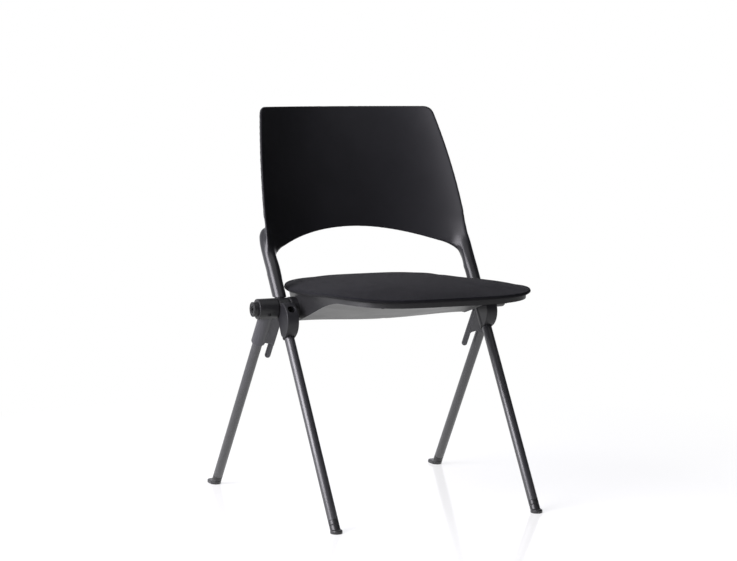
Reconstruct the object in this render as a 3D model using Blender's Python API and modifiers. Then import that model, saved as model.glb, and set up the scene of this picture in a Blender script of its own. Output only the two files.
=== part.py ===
"""Four-leg nesting chair with a tip-up upholstered seat and a moulded curved back.

Units are metres, +Z up, the sitter faces -Y. The origin is on the floor, in the middle of the chair's box.
Both front legs run straight on through their brackets into the columns of the back. A cross beam joins the
two sides, and the seat turns on it: its front edge lifts about the hub axis, which lies along X.
"""

import math

import bmesh
import bpy
from mathutils import Matrix, Vector

# Hub axis, legs and floor
HUB_Y = 0.0101
HUB_HEIGHT = 0.4030
LEG_DIAMETER = 0.0200
LEG_WALL = 0.0020
FRONT_LEAN = math.radians(32.35)
REAR_LEAN = math.radians(34.45)
LEG_SIDE_INSET = 0.0027
LEG_STEP_OUT = 0.0304
FRONT_FOOT_TUCK = 0.0043
REAR_FOOT_SPLAY = 0.0113

# Hub and its bolt
HUB_DIAMETER = 0.0410
FRONT_BRACKET_WIDTH = 0.0246
REAR_HUB_LENGTH = 0.0416
BOSS_DIAMETER = 0.0290
BOSS_LENGTH = 0.0090
BOSS_RECESS_DIAMETER = 0.0145
BOLT_DIAMETER = 0.0100
BOLT_HEAD_DIAMETER = 0.0130
BOLT_HEAD_LENGTH = 0.0060
BOLT_KEY_DIAMETER = 0.0070
BOLT_KEY_DEPTH = 0.0040

# Front bracket
LEAF_SETBACK = 0.0015
LEAF_TOP_AHEAD = 0.0269
LEAF_TOP_RISE = 0.0135
LEAF_FRONT_AHEAD = 0.0583
LEAF_FRONT_DROP = 0.0130
LEAF_FOOT_AHEAD = 0.0350
LEAF_FOOT_DROP = 0.0565
LEAF_HEEL_AHEAD = 0.0245
LEAF_HEEL_DROP = 0.0530
LEAF_REAR_AHEAD = 0.0128
LEAF_REAR_DROP = 0.0230
LEAF_ROUNDING = 0.0032
FRONT_SOCKET_LENGTH = 0.0660
FRONT_SOCKET_WALL = 0.0030
CLAMP_SCREW_DROP = 0.0240
CLAMP_SCREW_DIAMETER = 0.0080
CLAMP_HEAD_DIAMETER = 0.0130
CLAMP_HEAD_LENGTH = 0.0080
CLAMP_RECESS_DIAMETER = 0.0160
CLAMP_SEAT_REACH = 0.0270

# Rear bracket
REAR_SLEEVE_LENGTH = 0.0880
REAR_SLEEVE_WALL = 0.0037
FINGER_DIAMETER = 0.0120
FINGER_LENGTH = 0.1300
FINGER_SPREAD = 0.0300
WEB_START = 0.0270
WEB_THICKNESS = 0.0120
GRUB_SCREW_DIAMETER = 0.0056
GRUB_SCREW_ANGLE = math.radians(31.0)
GRUB_SCREW_LENGTH = 0.0080
GRUB_SCREW_PROUD = 0.0010

# Feet
FOOT_HEIGHT = 0.0210
FOOT_PLUG_LENGTH = 0.0160
FOOT_SHOE_HEIGHT = 0.0075
FOOT_SHOE_WIDTH = 0.0230
FRONT_TOE = 0.0020
REAR_TOE = 0.0170

# Cross beam, its plugs and the stops that carry the seat
BEAM_DIAMETER = 0.0300
BEAM_WALL = 0.0025
BEAM_PLUG_LENGTH = 0.0220
BEAM_PLUG_GRIP = 0.0160
STOP_LUG_X = 0.0900
STOP_LUG_LENGTH = 0.0600
STOP_LUG_FRONT = 0.0215
STOP_LUG_DEPTH = 0.0120
STOP_PAD_THICKNESS = 0.0040

# Backrest
BACK_RISE = 0.3970
BACK_SHOULDER_RISE = 0.1170
BACK_HALF_WIDTH = 0.2240
BACK_TAPER = 0.0040
BACK_TAPER_CURVE = 0.0280
BACK_EDGE_SETBACK = 0.0599
BACK_EDGE_LEAN = 0.0915
BACK_EDGE_CURVE = 0.0250
BACK_HOLLOW_LOW = 0.0885
BACK_HOLLOW_TOP = 0.0680
BACK_HOLLOW_POWER = 2.4
BACK_THICKNESS = 0.0055
BACK_CORNER_RADIUS = 0.0130
ARCH_RISE = 0.1470
ARCH_DROP = 0.0320
ARCH_SIDE_INSET = 0.0490
ARCH_FOOT_RISE = 0.0830
COLUMN_DIAMETER = 0.0275
COLUMN_RISE = 0.1590
COLUMN_ROUND = 0.0300
COLUMN_SUNK = 0.1000
LEG_IN_COLUMN = 0.0900

# Seat
SEAT_SIDE_CLEARANCE = 0.00135
SEAT_FLARE = 0.0068
SEAT_WAIST_AHEAD = 0.0740
SEAT_WAIST_BLEND = 0.0900
SEAT_WIDEST_AHEAD = 0.0900
SEAT_FRONT_REACH = 0.2350
SEAT_REAR_REACH = 0.2300
SEAT_FRONT_POWER = 3.9
SEAT_REAR_POWER = 3.3
SEAT_RISE = 0.0450
SEAT_FRONT_ROLL = 0.0025
SEAT_SIDE_DROOP = 0.0070
SEAT_DROOP_LENGTH = 0.0700
PAD_RIM = 0.0085
PAD_CROWN = 0.0070
PAD_TUCK = 0.0040
PAN_INSET = 0.0080
PAN_BAND = 0.0085
PAN_WALL = 0.0030
PAN_BELLY = 0.0550
BELLY_SQUARE_LENGTH = 0.0450
BELLY_SQUARE_POWER = 21.0
BOARD_INSET = 0.0260
BOARD_THICKNESS = 0.0055
PIVOT_BOSS_WALL = 0.0032
PIVOT_BOSS_LENGTH = 0.0600
BUSH_LENGTH = 0.0300
BUSH_WALL = 0.0029
BUSH_FLANGE = 0.0009
BUSH_FLANGE_RIM = 0.0020
PAD_SCREW_DIAMETER = 0.0040
PAD_SCREW_HEAD_DIAMETER = 0.0076
PAD_SCREW_HEAD_LENGTH = 0.0026
PAD_SCREW_GRIP = 0.0040
PAD_SCREW_POST_DIAMETER = 0.0120
PAD_SCREW_FRONT_X = 0.1100
PAD_SCREW_FRONT_INSET = 0.0900
PAD_SCREW_REAR_X = 0.0900
PAD_SCREW_REAR_INSET = 0.0800

# Fits
SEAT_GAP = 0.0003
RUNNING_GAP = 0.0001
CUT_OVER = 0.0100
ROUND_SIDES = 32
SMALL_SIDES = 16
OUTLINE_SIDES = 40
COLUMN_SIDES = 24

SIDES = {"right": -1.0, "left": 1.0}
FINISHES = {
    "back_plastic": ((0.012, 0.012, 0.013), 0.42, 0.0),
    "bracket_plastic": ((0.035, 0.036, 0.038), 0.5, 0.0),
    "leg_paint": ((0.020, 0.020, 0.022), 0.35, 0.4),
    "foot_plastic": ((0.030, 0.030, 0.032), 0.4, 0.0),
    "pan_plastic": ((0.060, 0.061, 0.063), 0.55, 0.0),
    "seat_fabric": ((0.028, 0.028, 0.031), 0.9, 0.0),
    "seat_board": ((0.42, 0.30, 0.18), 0.7, 0.0),
    "zinc_steel": ((0.45, 0.45, 0.46), 0.35, 1.0),
    "black_steel": ((0.025, 0.025, 0.026), 0.4, 0.8),
    "bush_nylon": ((0.08, 0.08, 0.082), 0.45, 0.0),
    "stop_rubber": ((0.018, 0.018, 0.018), 0.85, 0.0),
}

for old in list(bpy.data.objects):
    bpy.data.objects.remove(old, do_unlink=True)
PARTS = bpy.data.collections.new("tip_up_chair")
CUTTERS = bpy.data.collections.new("cutters")
for group in (PARTS, CUTTERS):
    bpy.context.scene.collection.children.link(group)


def finish(slot):
    """The material of a slot, made once."""
    found = bpy.data.materials.get(slot)
    if found:
        return found
    colour, roughness, metallic = FINISHES[slot]
    made = bpy.data.materials.new(slot)
    made.use_nodes = True
    shader = made.node_tree.nodes["Principled BSDF"]
    shader.inputs["Base Color"].default_value = (*colour, 1.0)
    shader.inputs["Roughness"].default_value = roughness
    shader.inputs["Metallic"].default_value = metallic
    made.diffuse_color = (*colour, 1.0)
    return made


def add_object(name, mesh, slot=None, place=None):
    """A part when it has a slot, and otherwise a cutter."""
    made = bpy.data.objects.new(name, mesh)
    if place is not None:
        made.matrix_world = place
    if slot:
        mesh.materials.append(finish(slot))
        PARTS.objects.link(made)
    else:
        made.hide_render = True
        made.display_type = "WIRE"
        CUTTERS.objects.link(made)
    mesh.shade_smooth()
    mesh.set_sharp_from_angle(angle=math.radians(35))
    return made


def axis_place(start, direction):
    """A frame at start whose Z runs along the direction."""
    turn = Vector(direction).to_track_quat("Z", "Y").to_matrix().to_4x4()
    return Matrix.Translation(start) @ turn


def mesh_of(name, bm):
    mesh = bpy.data.meshes.new(name)
    bmesh.ops.recalc_face_normals(bm, faces=bm.faces)
    bm.to_mesh(mesh)
    bm.free()
    return mesh


def cylinder(name, start, end, diameter, slot=None, sides=ROUND_SIDES):
    """A round bar between two points."""
    start, end = Vector(start), Vector(end)
    bm = bmesh.new()
    radius, length = diameter / 2, (end - start).length
    bmesh.ops.create_cone(bm, cap_ends=True, segments=sides, radius1=radius, radius2=radius, depth=length)
    return add_object(name, mesh_of(name, bm), slot, axis_place((start + end) / 2, end - start))


def turned(name, profile, start, direction, slot=None, sides=ROUND_SIDES):
    """A profile of (radius, height) points, outer side running down, turned about the axis."""
    mesh = bpy.data.meshes.new(name)
    hollow = all(radius > 0 for radius, _ in profile)
    edges = [(i, i + 1) for i in range(len(profile) - 1)]
    if hollow:
        edges.append((len(profile) - 1, 0))
    mesh.from_pydata([(radius, 0, height) for radius, height in profile], edges, [])
    made = add_object(name, mesh, slot, axis_place(Vector(start), Vector(direction)))
    screw = made.modifiers.new("turn", "SCREW")
    screw.axis = "Z"
    screw.steps = sides
    screw.render_steps = sides
    screw.use_merge_vertices = True
    screw.merge_threshold = 0.00001
    return made


def ring_of(radius_out, radius_in, low, high):
    """The profile of a plain tube."""
    return [(radius_out, high), (radius_out, low), (radius_in, low), (radius_in, high)]


def box(name, low, high, slot=None, place=None):
    low, high = Vector(low), Vector(high)
    bm = bmesh.new()
    bmesh.ops.create_cube(bm, size=1.0)
    bmesh.ops.scale(bm, vec=high - low, verts=bm.verts)
    bmesh.ops.translate(bm, vec=(low + high) / 2, verts=bm.verts)
    return add_object(name, mesh_of(name, bm), slot, place)


def loft(name, rings, slot=None):
    """A closed solid through rings of equal count, with a face at each end."""
    bm = bmesh.new()
    rows = [[bm.verts.new(point) for point in ring] for ring in rings]
    for lower, upper in zip(rows, rows[1:]):
        for i in range(len(lower)):
            j = (i + 1) % len(lower)
            bm.faces.new((lower[i], lower[j], upper[j], upper[i]))
    bm.faces.new(rows[0])
    bm.faces.new(rows[-1])
    return add_object(name, mesh_of(name, bm), slot)


def outline_solid(name, points, half_width, rounding, place, slot=None):
    """A flat outline made thick, with its sides rounded outwards."""
    curve = bpy.data.curves.new(name, "CURVE")
    curve.dimensions = "2D"
    curve.fill_mode = "BOTH"
    curve.extrude = half_width - rounding
    curve.bevel_depth = rounding
    curve.bevel_resolution = 2
    spline = curve.splines.new("POLY")
    spline.points.add(len(points) - 1)
    for point, (across, up) in zip(spline.points, points):
        point.co = (across, up, 0, 1)
    spline.use_cyclic_u = True
    guide = bpy.data.objects.new(name + "_outline", curve)
    CUTTERS.objects.link(guide)
    bpy.context.view_layer.update()
    mesh = bpy.data.meshes.new_from_object(guide.evaluated_get(bpy.context.evaluated_depsgraph_get()))
    bpy.data.objects.remove(guide, do_unlink=True)
    mesh.name = name
    bm = bmesh.new()
    bm.from_mesh(mesh)
    bmesh.ops.remove_doubles(bm, verts=bm.verts, dist=0.00001)
    bmesh.ops.recalc_face_normals(bm, faces=bm.faces)
    bm.to_mesh(mesh)
    bm.free()
    mesh.materials.clear()
    return add_object(name, mesh, slot, place)


def combine(target, other, operation):
    step = target.modifiers.new(other.name, "BOOLEAN")
    step.operation = operation
    step.solver = "EXACT"
    step.object = other
    return target


def cut(target, *cutters):
    for cutter in cutters:
        combine(target, cutter, "DIFFERENCE")


def join(target, *others):
    for other in others:
        combine(target, other, "UNION")


def on_axis(x):
    """A point of the hub axis."""
    return Vector((x, HUB_Y, HUB_HEIGHT))


FRONT_LEG_X = BACK_HALF_WIDTH - LEG_SIDE_INSET
REAR_LEG_X = FRONT_LEG_X + LEG_STEP_OUT
FRONT_FOOT_X = FRONT_LEG_X - FRONT_FOOT_TUCK
REAR_FOOT_X = REAR_LEG_X + REAR_FOOT_SPLAY
ARCH_HALF_WIDTH = BACK_HALF_WIDTH - ARCH_SIDE_INSET


def leg_line(side, hub_x, foot_x, lean):
    """Hub point and downward unit direction of a leg."""
    run = math.tan(lean) * HUB_HEIGHT
    hub = on_axis(side * hub_x)
    foot = Vector((side * foot_x, HUB_Y + run, 0))
    return hub, (foot - hub).normalized()


def front_line(side):
    return leg_line(side, FRONT_LEG_X, FRONT_FOOT_X, -FRONT_LEAN)


def rear_line(side):
    return leg_line(side, REAR_LEG_X, REAR_FOOT_X, REAR_LEAN)


def floor_point(hub, down):
    """Where a leg's axis meets the floor."""
    return hub + down * (hub.z / -down.z)


HUB_RADIUS = HUB_DIAMETER / 2
LEG_RADIUS = LEG_DIAMETER / 2
BEAM_RADIUS = BEAM_DIAMETER / 2
BRACKET_INNER = FRONT_LEG_X - FRONT_BRACKET_WIDTH / 2
BRACKET_OUTER = FRONT_LEG_X + FRONT_BRACKET_WIDTH / 2
REAR_HUB_INNER = BRACKET_OUTER + SEAT_GAP
REAR_HUB_OUTER = REAR_HUB_INNER + REAR_HUB_LENGTH
BOSS_INNER = REAR_HUB_OUTER + SEAT_GAP
BOSS_OUTER = BOSS_INNER + BOSS_LENGTH
BOLT_SEAT = BOSS_OUTER - BOSS_LENGTH * 0.8
BEAM_END = BRACKET_INNER - SEAT_GAP
BOLT_TIP = BEAM_END - BEAM_PLUG_GRIP
BOLT_HOLE = BOLT_DIAMETER + 2 * SEAT_GAP
LEG_HOLE = LEG_DIAMETER + 2 * SEAT_GAP
COLUMN_FOOT = HUB_HEIGHT + HUB_RADIUS + SEAT_GAP
BACK_TOP = HUB_HEIGHT + BACK_RISE
BACK_SHOULDER = HUB_HEIGHT + BACK_SHOULDER_RISE
ARCH_HEIGHT = HUB_HEIGHT + ARCH_RISE
ARCH_FOOT = HUB_HEIGHT + ARCH_FOOT_RISE
COLUMN_TOP = HUB_HEIGHT + COLUMN_RISE
SEAT_WIDEST_Y = HUB_Y - SEAT_WIDEST_AHEAD
SEAT_FRONT_Y = SEAT_WIDEST_Y - SEAT_FRONT_REACH
SEAT_REAR_Y = SEAT_WIDEST_Y + SEAT_REAR_REACH
SEAT_WAIST_HALF_WIDTH = FRONT_LEG_X - COLUMN_DIAMETER / 2 - SEAT_SIDE_CLEARANCE
SEAT_HALF_WIDTH = SEAT_WAIST_HALF_WIDTH + SEAT_FLARE
SEAT_EDGE_HEIGHT = HUB_HEIGHT + SEAT_RISE


# Legs: steel tubes, the front pair running on up into the columns of the back


def make_legs(word, side):
    hub, down = front_line(side)
    run = (hub - floor_point(hub, down)).length
    bottom = run - FOOT_HEIGHT / -down.z - SEAT_GAP
    top = (COLUMN_FOOT - HUB_HEIGHT) / -down.z + LEG_IN_COLUMN
    profile = ring_of(LEG_RADIUS, LEG_RADIUS - LEG_WALL, -top, bottom)
    front = turned(f"front_leg_{word}", profile, hub, down, "leg_paint")
    cut(front, bolt_way(f"front_leg_bolt_way_{word}", side, BOLT_HOLE))
    cut(front, clamp_way(f"front_leg_clamp_way_{word}", side, CLAMP_SCREW_DIAMETER + 2 * SEAT_GAP))
    hub, down = rear_line(side)
    run = (hub - floor_point(hub, down)).length
    bottom = run - FOOT_HEIGHT / -down.z - SEAT_GAP
    profile = ring_of(LEG_RADIUS, LEG_RADIUS - LEG_WALL, rear_leg_top(), bottom)
    turned(f"rear_leg_{word}", profile, hub, down, "leg_paint")


def rear_leg_top():
    """How far below the hub axis the rear leg ends in its sleeve."""
    return BOLT_DIAMETER / 2 + LEG_RADIUS * 1.3


def bolt_way(name, side, diameter):
    """Cutter along the hub axis, from inside the beam to past the boss."""
    start, end = on_axis(side * (BOLT_TIP - CUT_OVER)), on_axis(side * (BOSS_OUTER + CUT_OVER))
    return cylinder(name, start, end, diameter)


def clamp_frame(side):
    """Where the clamp screw's axis crosses the leg, and its way: square to the leg, forward and up."""
    hub, down = front_line(side)
    forward = Vector((0, down.z, -down.y)).normalized()
    return hub + down * CLAMP_SCREW_DROP, forward


def clamp_way(name, side, diameter):
    start, forward = clamp_frame(side)
    return cylinder(name, start, start + forward * (CLAMP_SEAT_REACH + CUT_OVER * 3), diameter)


# Feet: moulded ends, each a plug in its leg, a stub flush with the tube and a flat sole with a toe


def make_foot(name, line, side, toe):
    hub, down = line(side)
    floor = floor_point(hub, down)
    up = -down
    heading = math.copysign(1.0, down.y)
    half = FOOT_SHOE_WIDTH / 2
    points = []
    for i in range(SMALL_SIDES * 2):
        angle = 2 * math.pi * (i + 0.5) / (SMALL_SIDES * 2)
        along = half * math.sin(angle)
        reach = toe if along * heading > 0 else 0.0
        points.append((floor.x + half * math.cos(angle), floor.y + along + heading * reach))
    shoe = loft(name, [[(x, y, z) for x, y in points] for z in (0, FOOT_SHOE_HEIGHT)], "foot_plastic")
    stub_end = floor + up * (FOOT_HEIGHT / up.z)
    plug_diameter = LEG_DIAMETER - 2 * (LEG_WALL + SEAT_GAP)
    stub = cylinder(name + "_stub", floor - up * LEG_DIAMETER, stub_end, LEG_DIAMETER)
    plug_start, plug_end = floor + up * LEG_RADIUS, stub_end + up * FOOT_PLUG_LENGTH
    join(shoe, stub, cylinder(name + "_plug", plug_start, plug_end, plug_diameter))
    reach = LEG_DIAMETER * 4
    low = (floor.x - reach, floor.y - reach, -reach)
    cut(shoe, box(name + "_floor", low, (floor.x + reach, floor.y + reach, 0)))


# Front bracket: a lens-shaped body with flat leaf cheeks, a hub and a socket for the through leg


def leaf_outline():
    """The cheek's leaf in (y, z) from the hub axis: a long front arc, a short foot edge and a rear arc."""
    top = (-LEAF_TOP_AHEAD, LEAF_TOP_RISE)
    front = (-LEAF_FRONT_AHEAD, -LEAF_FRONT_DROP)
    foot = (-LEAF_FOOT_AHEAD, -LEAF_FOOT_DROP)
    heel = (-LEAF_HEEL_AHEAD, -LEAF_HEEL_DROP)
    rear = (-LEAF_REAR_AHEAD, -LEAF_REAR_DROP)
    return arc_through(top, front, foot, 9) + arc_through(heel, rear, top, 7)[:-1]


def arc_through(first, middle, last, count):
    """Points along the circle through three points, from the first to the last."""
    ax, ay = first
    bx, by = middle
    cx, cy = last
    twice = 2 * (ax * (by - cy) + bx * (cy - ay) + cx * (ay - by))
    a2, b2, c2 = ax * ax + ay * ay, bx * bx + by * by, cx * cx + cy * cy
    x = (a2 * (by - cy) + b2 * (cy - ay) + c2 * (ay - by)) / twice
    y = (a2 * (cx - bx) + b2 * (ax - cx) + c2 * (bx - ax)) / twice
    radius = math.hypot(ax - x, ay - y)
    start = math.atan2(ay - y, ax - x)
    end = math.atan2(cy - y, cx - x)
    mid = math.atan2(by - y, bx - x)
    turn = (end - start) % (2 * math.pi)
    if (mid - start) % (2 * math.pi) > turn:
        turn -= 2 * math.pi
    angles = [start + turn * i / (count - 1) for i in range(count)]
    return [(x + radius * math.cos(a), y + radius * math.sin(a)) for a in angles]


SIDE_VIEW = Matrix(((0, 0, 1, 0), (1, 0, 0, 0), (0, 1, 0, 0), (0, 0, 0, 1)))


def make_front_bracket(word, side):
    name = f"front_bracket_{word}"
    hub, down = front_line(side)
    place = Matrix.Translation(hub) @ SIDE_VIEW
    half = FRONT_BRACKET_WIDTH / 2
    body = outline_solid(name, leaf_outline(), half, LEAF_ROUNDING, place, "bracket_plastic")
    inner = side * (BRACKET_INNER + LEAF_SETBACK)
    outer = side * (BRACKET_OUTER - LEAF_SETBACK)
    socket = LEG_DIAMETER + 2 * FRONT_SOCKET_WALL
    join(
        body,
        cylinder(name + "_hub", on_axis(inner), on_axis(outer), HUB_DIAMETER),
        cylinder(name + "_socket", hub + down * HUB_RADIUS * 1.1, hub + down * FRONT_SOCKET_LENGTH, socket),
    )
    start, forward = clamp_frame(side)
    seat = start + forward * CLAMP_SEAT_REACH
    cut(
        body,
        cylinder(
            name + "_leg_way",
            hub - down * (HUB_DIAMETER + CUT_OVER),
            hub + down * (FRONT_SOCKET_LENGTH + CUT_OVER),
            LEG_HOLE,
        ),
        bolt_way(name + "_bolt_way", side, BOLT_HOLE),
        clamp_way(name + "_clamp_way", side, CLAMP_SCREW_DIAMETER + 2 * SEAT_GAP),
        cylinder(name + "_recess", seat, seat + forward * CUT_OVER * 4, CLAMP_RECESS_DIAMETER),
    )


def make_clamp_screw(word, side):
    start, forward = clamp_frame(side)
    head = CLAMP_HEAD_DIAMETER / 2
    shank = CLAMP_SCREW_DIAMETER / 2
    key = shank * 0.8
    seat = CLAMP_SEAT_REACH + SEAT_GAP
    top = seat + CLAMP_HEAD_LENGTH
    tip = LEG_RADIUS - LEG_WALL
    profile = [
        (0, top - CLAMP_HEAD_LENGTH * 0.5),
        (key, top - CLAMP_HEAD_LENGTH * 0.5),
        (key, top),
        (head, top),
        (head, seat),
        (shank, seat),
        (shank, tip),
        (0, tip),
    ]
    turned(f"clamp_screw_{word}", profile, start, forward, "black_steel", SMALL_SIDES)


# Rear bracket: outer hub, sleeve for the rear leg, and a web that ends in the nesting finger


def make_rear_bracket(word, side):
    name = f"rear_bracket_{word}"
    hub, down = rear_line(side)
    inner, outer = on_axis(side * REAR_HUB_INNER), on_axis(side * REAR_HUB_OUTER)
    body = cylinder(name, inner, outer, HUB_DIAMETER, "bracket_plastic")
    sleeve = LEG_DIAMETER + 2 * (REAR_SLEEVE_WALL + SEAT_GAP)
    inward = Vector((-side, 0, 0))
    rise = down.cross(inward).normalized() * side
    frame = Matrix.Translation(hub) @ Matrix((inward, rise, down)).transposed().to_4x4()
    tip = FINGER_LENGTH - FINGER_DIAMETER / 2
    web = loft(name + "_web", web_rings(frame, tip))
    finger_start = frame @ Vector((FINGER_SPREAD, 0, WEB_START + FINGER_DIAMETER))
    finger = turned(name + "_finger", finger_profile(tip - WEB_START - FINGER_DIAMETER), finger_start, down)
    join(body, cylinder(name + "_sleeve", hub, hub + down * REAR_SLEEVE_LENGTH, sleeve), web, finger)
    way_start = hub + down * (rear_leg_top() - SEAT_GAP)
    way_end = hub + down * (REAR_SLEEVE_LENGTH + CUT_OVER)
    cut(
        body,
        cylinder(name + "_leg_way", way_start, way_end, LEG_HOLE),
        bolt_way(name + "_bolt_way", side, BOLT_HOLE),
        grub_way(name + "_grub_way", side),
    )


def web_rings(frame, tip):
    """The web's two faces: from beside the sleeve to the finger, its foot stepping up to the slot."""
    half = WEB_THICKNESS / 2
    edge = FINGER_SPREAD + FINGER_DIAMETER * 0.2
    corners = [
        (0.0, WEB_START),
        (edge, WEB_START),
        (edge, REAR_SLEEVE_LENGTH + half),
        (FINGER_SPREAD - FINGER_DIAMETER / 2, REAR_SLEEVE_LENGTH),
        (0.0, REAR_SLEEVE_LENGTH - half),
    ]
    return [[frame @ Vector((x, y, z)) for x, z in corners] for y in (-half, half)]


def finger_profile(length):
    """A bar with a rounded tip, from its root at height 0 to its tip."""
    radius = FINGER_DIAMETER / 2
    steps = 5
    cap = [
        (radius * math.sin(a), length + radius * math.cos(a))
        for a in (math.pi / 2 * i / steps for i in range(steps + 1))
    ]
    return [(max(r, 0.0), z) for r, z in cap] + [(radius, 0.0), (0.0, 0.0)]


def grub_frame(side):
    """The grub screw's seat on the hub axis and its outward direction, forward and down."""
    middle = on_axis(side * (REAR_HUB_INNER + REAR_HUB_LENGTH / 2))
    return middle, Vector((0, -math.cos(GRUB_SCREW_ANGLE), -math.sin(GRUB_SCREW_ANGLE)))


def grub_way(name, side):
    middle, out = grub_frame(side)
    start = middle + out * (HUB_RADIUS + GRUB_SCREW_PROUD - GRUB_SCREW_LENGTH - SEAT_GAP)
    end = middle + out * (HUB_RADIUS + CUT_OVER)
    return cylinder(name, start, end, GRUB_SCREW_DIAMETER + 2 * SEAT_GAP, sides=SMALL_SIDES)


def make_grub_screw(word, side):
    middle, out = grub_frame(side)
    top = HUB_RADIUS + GRUB_SCREW_PROUD
    radius = GRUB_SCREW_DIAMETER / 2
    profile = [
        (0, top - radius),
        (radius * 0.5, top - radius),
        (radius * 0.5, top),
        (radius * 0.8, top),
        (radius, top - radius * 0.3),
        (radius, top - GRUB_SCREW_LENGTH),
        (0, top - GRUB_SCREW_LENGTH),
    ]
    turned(f"hub_grub_screw_{word}", profile, middle, out, "black_steel", SMALL_SIDES)


# Hub ends: the linking boss and the bolt that holds each side to the cross beam


def make_hub_end(word, side):
    out = Vector((side, 0, 0))
    outer = BOSS_DIAMETER / 2
    recess = BOSS_RECESS_DIAMETER / 2
    hole = BOLT_HOLE / 2
    edge = BOSS_LENGTH * 0.2
    profile = [
        (recess, BOSS_OUTER),
        (outer - edge, BOSS_OUTER),
        (outer, BOSS_OUTER - edge),
        (outer, BOSS_INNER),
        (hole, BOSS_INNER),
        (hole, BOLT_SEAT),
        (recess, BOLT_SEAT),
    ]
    centre = Vector((0, HUB_Y, HUB_HEIGHT))
    turned(f"link_boss_{word}", profile, centre, out, "bracket_plastic")
    head = BOLT_HEAD_DIAMETER / 2
    shank = BOLT_DIAMETER / 2
    key = BOLT_KEY_DIAMETER / 2
    seat = BOLT_SEAT + SEAT_GAP
    top = seat + BOLT_HEAD_LENGTH
    bolt = [
        (0, top - BOLT_KEY_DEPTH),
        (key, top - BOLT_KEY_DEPTH),
        (key, top),
        (head, top),
        (head, seat),
        (shank, seat),
        (shank, BOLT_TIP),
        (0, BOLT_TIP),
    ]
    turned(f"hub_bolt_{word}", bolt, centre, out, "zinc_steel", SMALL_SIDES)


# Cross beam with its end plugs and the stops that the seat rests on


def make_beam():
    profile = ring_of(BEAM_RADIUS, BEAM_RADIUS - BEAM_WALL, -BEAM_END, BEAM_END)
    turned("cross_beam", profile, on_axis(0), Vector((1, 0, 0)), "leg_paint")


def make_beam_plug(word, side):
    radius = BEAM_RADIUS - BEAM_WALL - SEAT_GAP
    profile = ring_of(radius, BOLT_HOLE / 2, BEAM_END - BEAM_PLUG_LENGTH, BEAM_END)
    turned(f"beam_plug_{word}", profile, on_axis(0), Vector((side, 0, 0)), "zinc_steel", SMALL_SIDES)


def make_stop(word, side):
    """A steel lug that straddles the beam's top front, with a rubber pad under the seat board."""
    low_x, high_x = STOP_LUG_X - STOP_LUG_LENGTH / 2, STOP_LUG_X + STOP_LUG_LENGTH / 2
    front, back = HUB_Y - STOP_LUG_FRONT, HUB_Y - STOP_LUG_FRONT + STOP_LUG_DEPTH
    pad_top = board_bottom() - SEAT_GAP
    lug_top = pad_top - STOP_PAD_THICKNESS - SEAT_GAP
    xs = sorted((side * low_x, side * high_x))
    low, high = (xs[0], front, HUB_HEIGHT), (xs[1], back + BEAM_RADIUS / 2, lug_top)
    lug = box(f"stop_lug_{word}", low, high, "black_steel")
    way = BEAM_DIAMETER + 2 * SEAT_GAP
    cut(lug, cylinder(f"stop_lug_way_{word}", on_axis(-BEAM_END), on_axis(BEAM_END), way))
    box(f"stop_pad_{word}", (xs[0], front, lug_top + SEAT_GAP), (xs[1], back, pad_top), "stop_rubber")


# Backrest: a curved moulded panel on two round columns


def back_share(z):
    """0 at the shoulder, 1 at the top edge."""
    return (z - BACK_SHOULDER) / (BACK_TOP - BACK_SHOULDER)


def back_half_width(z):
    u = back_share(z)
    return BACK_HALF_WIDTH - BACK_TAPER * u - BACK_TAPER_CURVE * u * u


def back_front(x, z):
    """The panel's front face: y at this place."""
    u = back_share(z)
    edge = HUB_Y + BACK_EDGE_SETBACK + BACK_EDGE_LEAN * u + BACK_EDGE_CURVE * u * u
    hollow = BACK_HOLLOW_LOW + (BACK_HOLLOW_TOP - BACK_HOLLOW_LOW) * u
    share = min(abs(x) / back_half_width(z), 1.0)
    return edge + hollow * (1 - share**BACK_HOLLOW_POWER)


def arch_edge(x):
    """The panel's lower edge: an arch, then a fillet down the inner side of each column."""
    x = abs(x)
    slope = ARCH_DROP / ARCH_HALF_WIDTH**2
    if x <= ARCH_HALF_WIDTH:
        return ARCH_HEIGHT - slope * x * x
    side = FRONT_LEG_X - COLUMN_DIAMETER / 2
    start = ARCH_HEIGHT - ARCH_DROP
    share = min((x - ARCH_HALF_WIDTH) / (side - ARCH_HALF_WIDTH), 1.0)
    return start - (start - ARCH_FOOT) * (1 - math.sqrt(max(1 - share**2, 0)) + 0.35 * share) / 1.35


def back_top_edge(share):
    """The top edge, with a rounded corner at each end."""
    inset = (1 - abs(share)) * back_half_width(BACK_TOP)
    if inset >= BACK_CORNER_RADIUS:
        return BACK_TOP
    away = BACK_CORNER_RADIUS - inset
    return BACK_TOP - BACK_CORNER_RADIUS + math.sqrt(max(BACK_CORNER_RADIUS**2 - away**2, 0))


def panel_shares():
    """Places across the panel, close together at the fillets and corners."""
    fillet = (FRONT_LEG_X - COLUMN_DIAMETER / 2) / BACK_HALF_WIDTH
    arch = ARCH_HALF_WIDTH / BACK_HALF_WIDTH
    half = [arch * i / 6 for i in range(1, 7)]
    half += [arch + (fillet - arch) * i / 5 for i in range(1, 6)]
    half += [fillet + (1 - fillet) * i / 4 for i in range(1, 5)]
    return [-share for share in reversed(half)] + [0.0] + half


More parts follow.
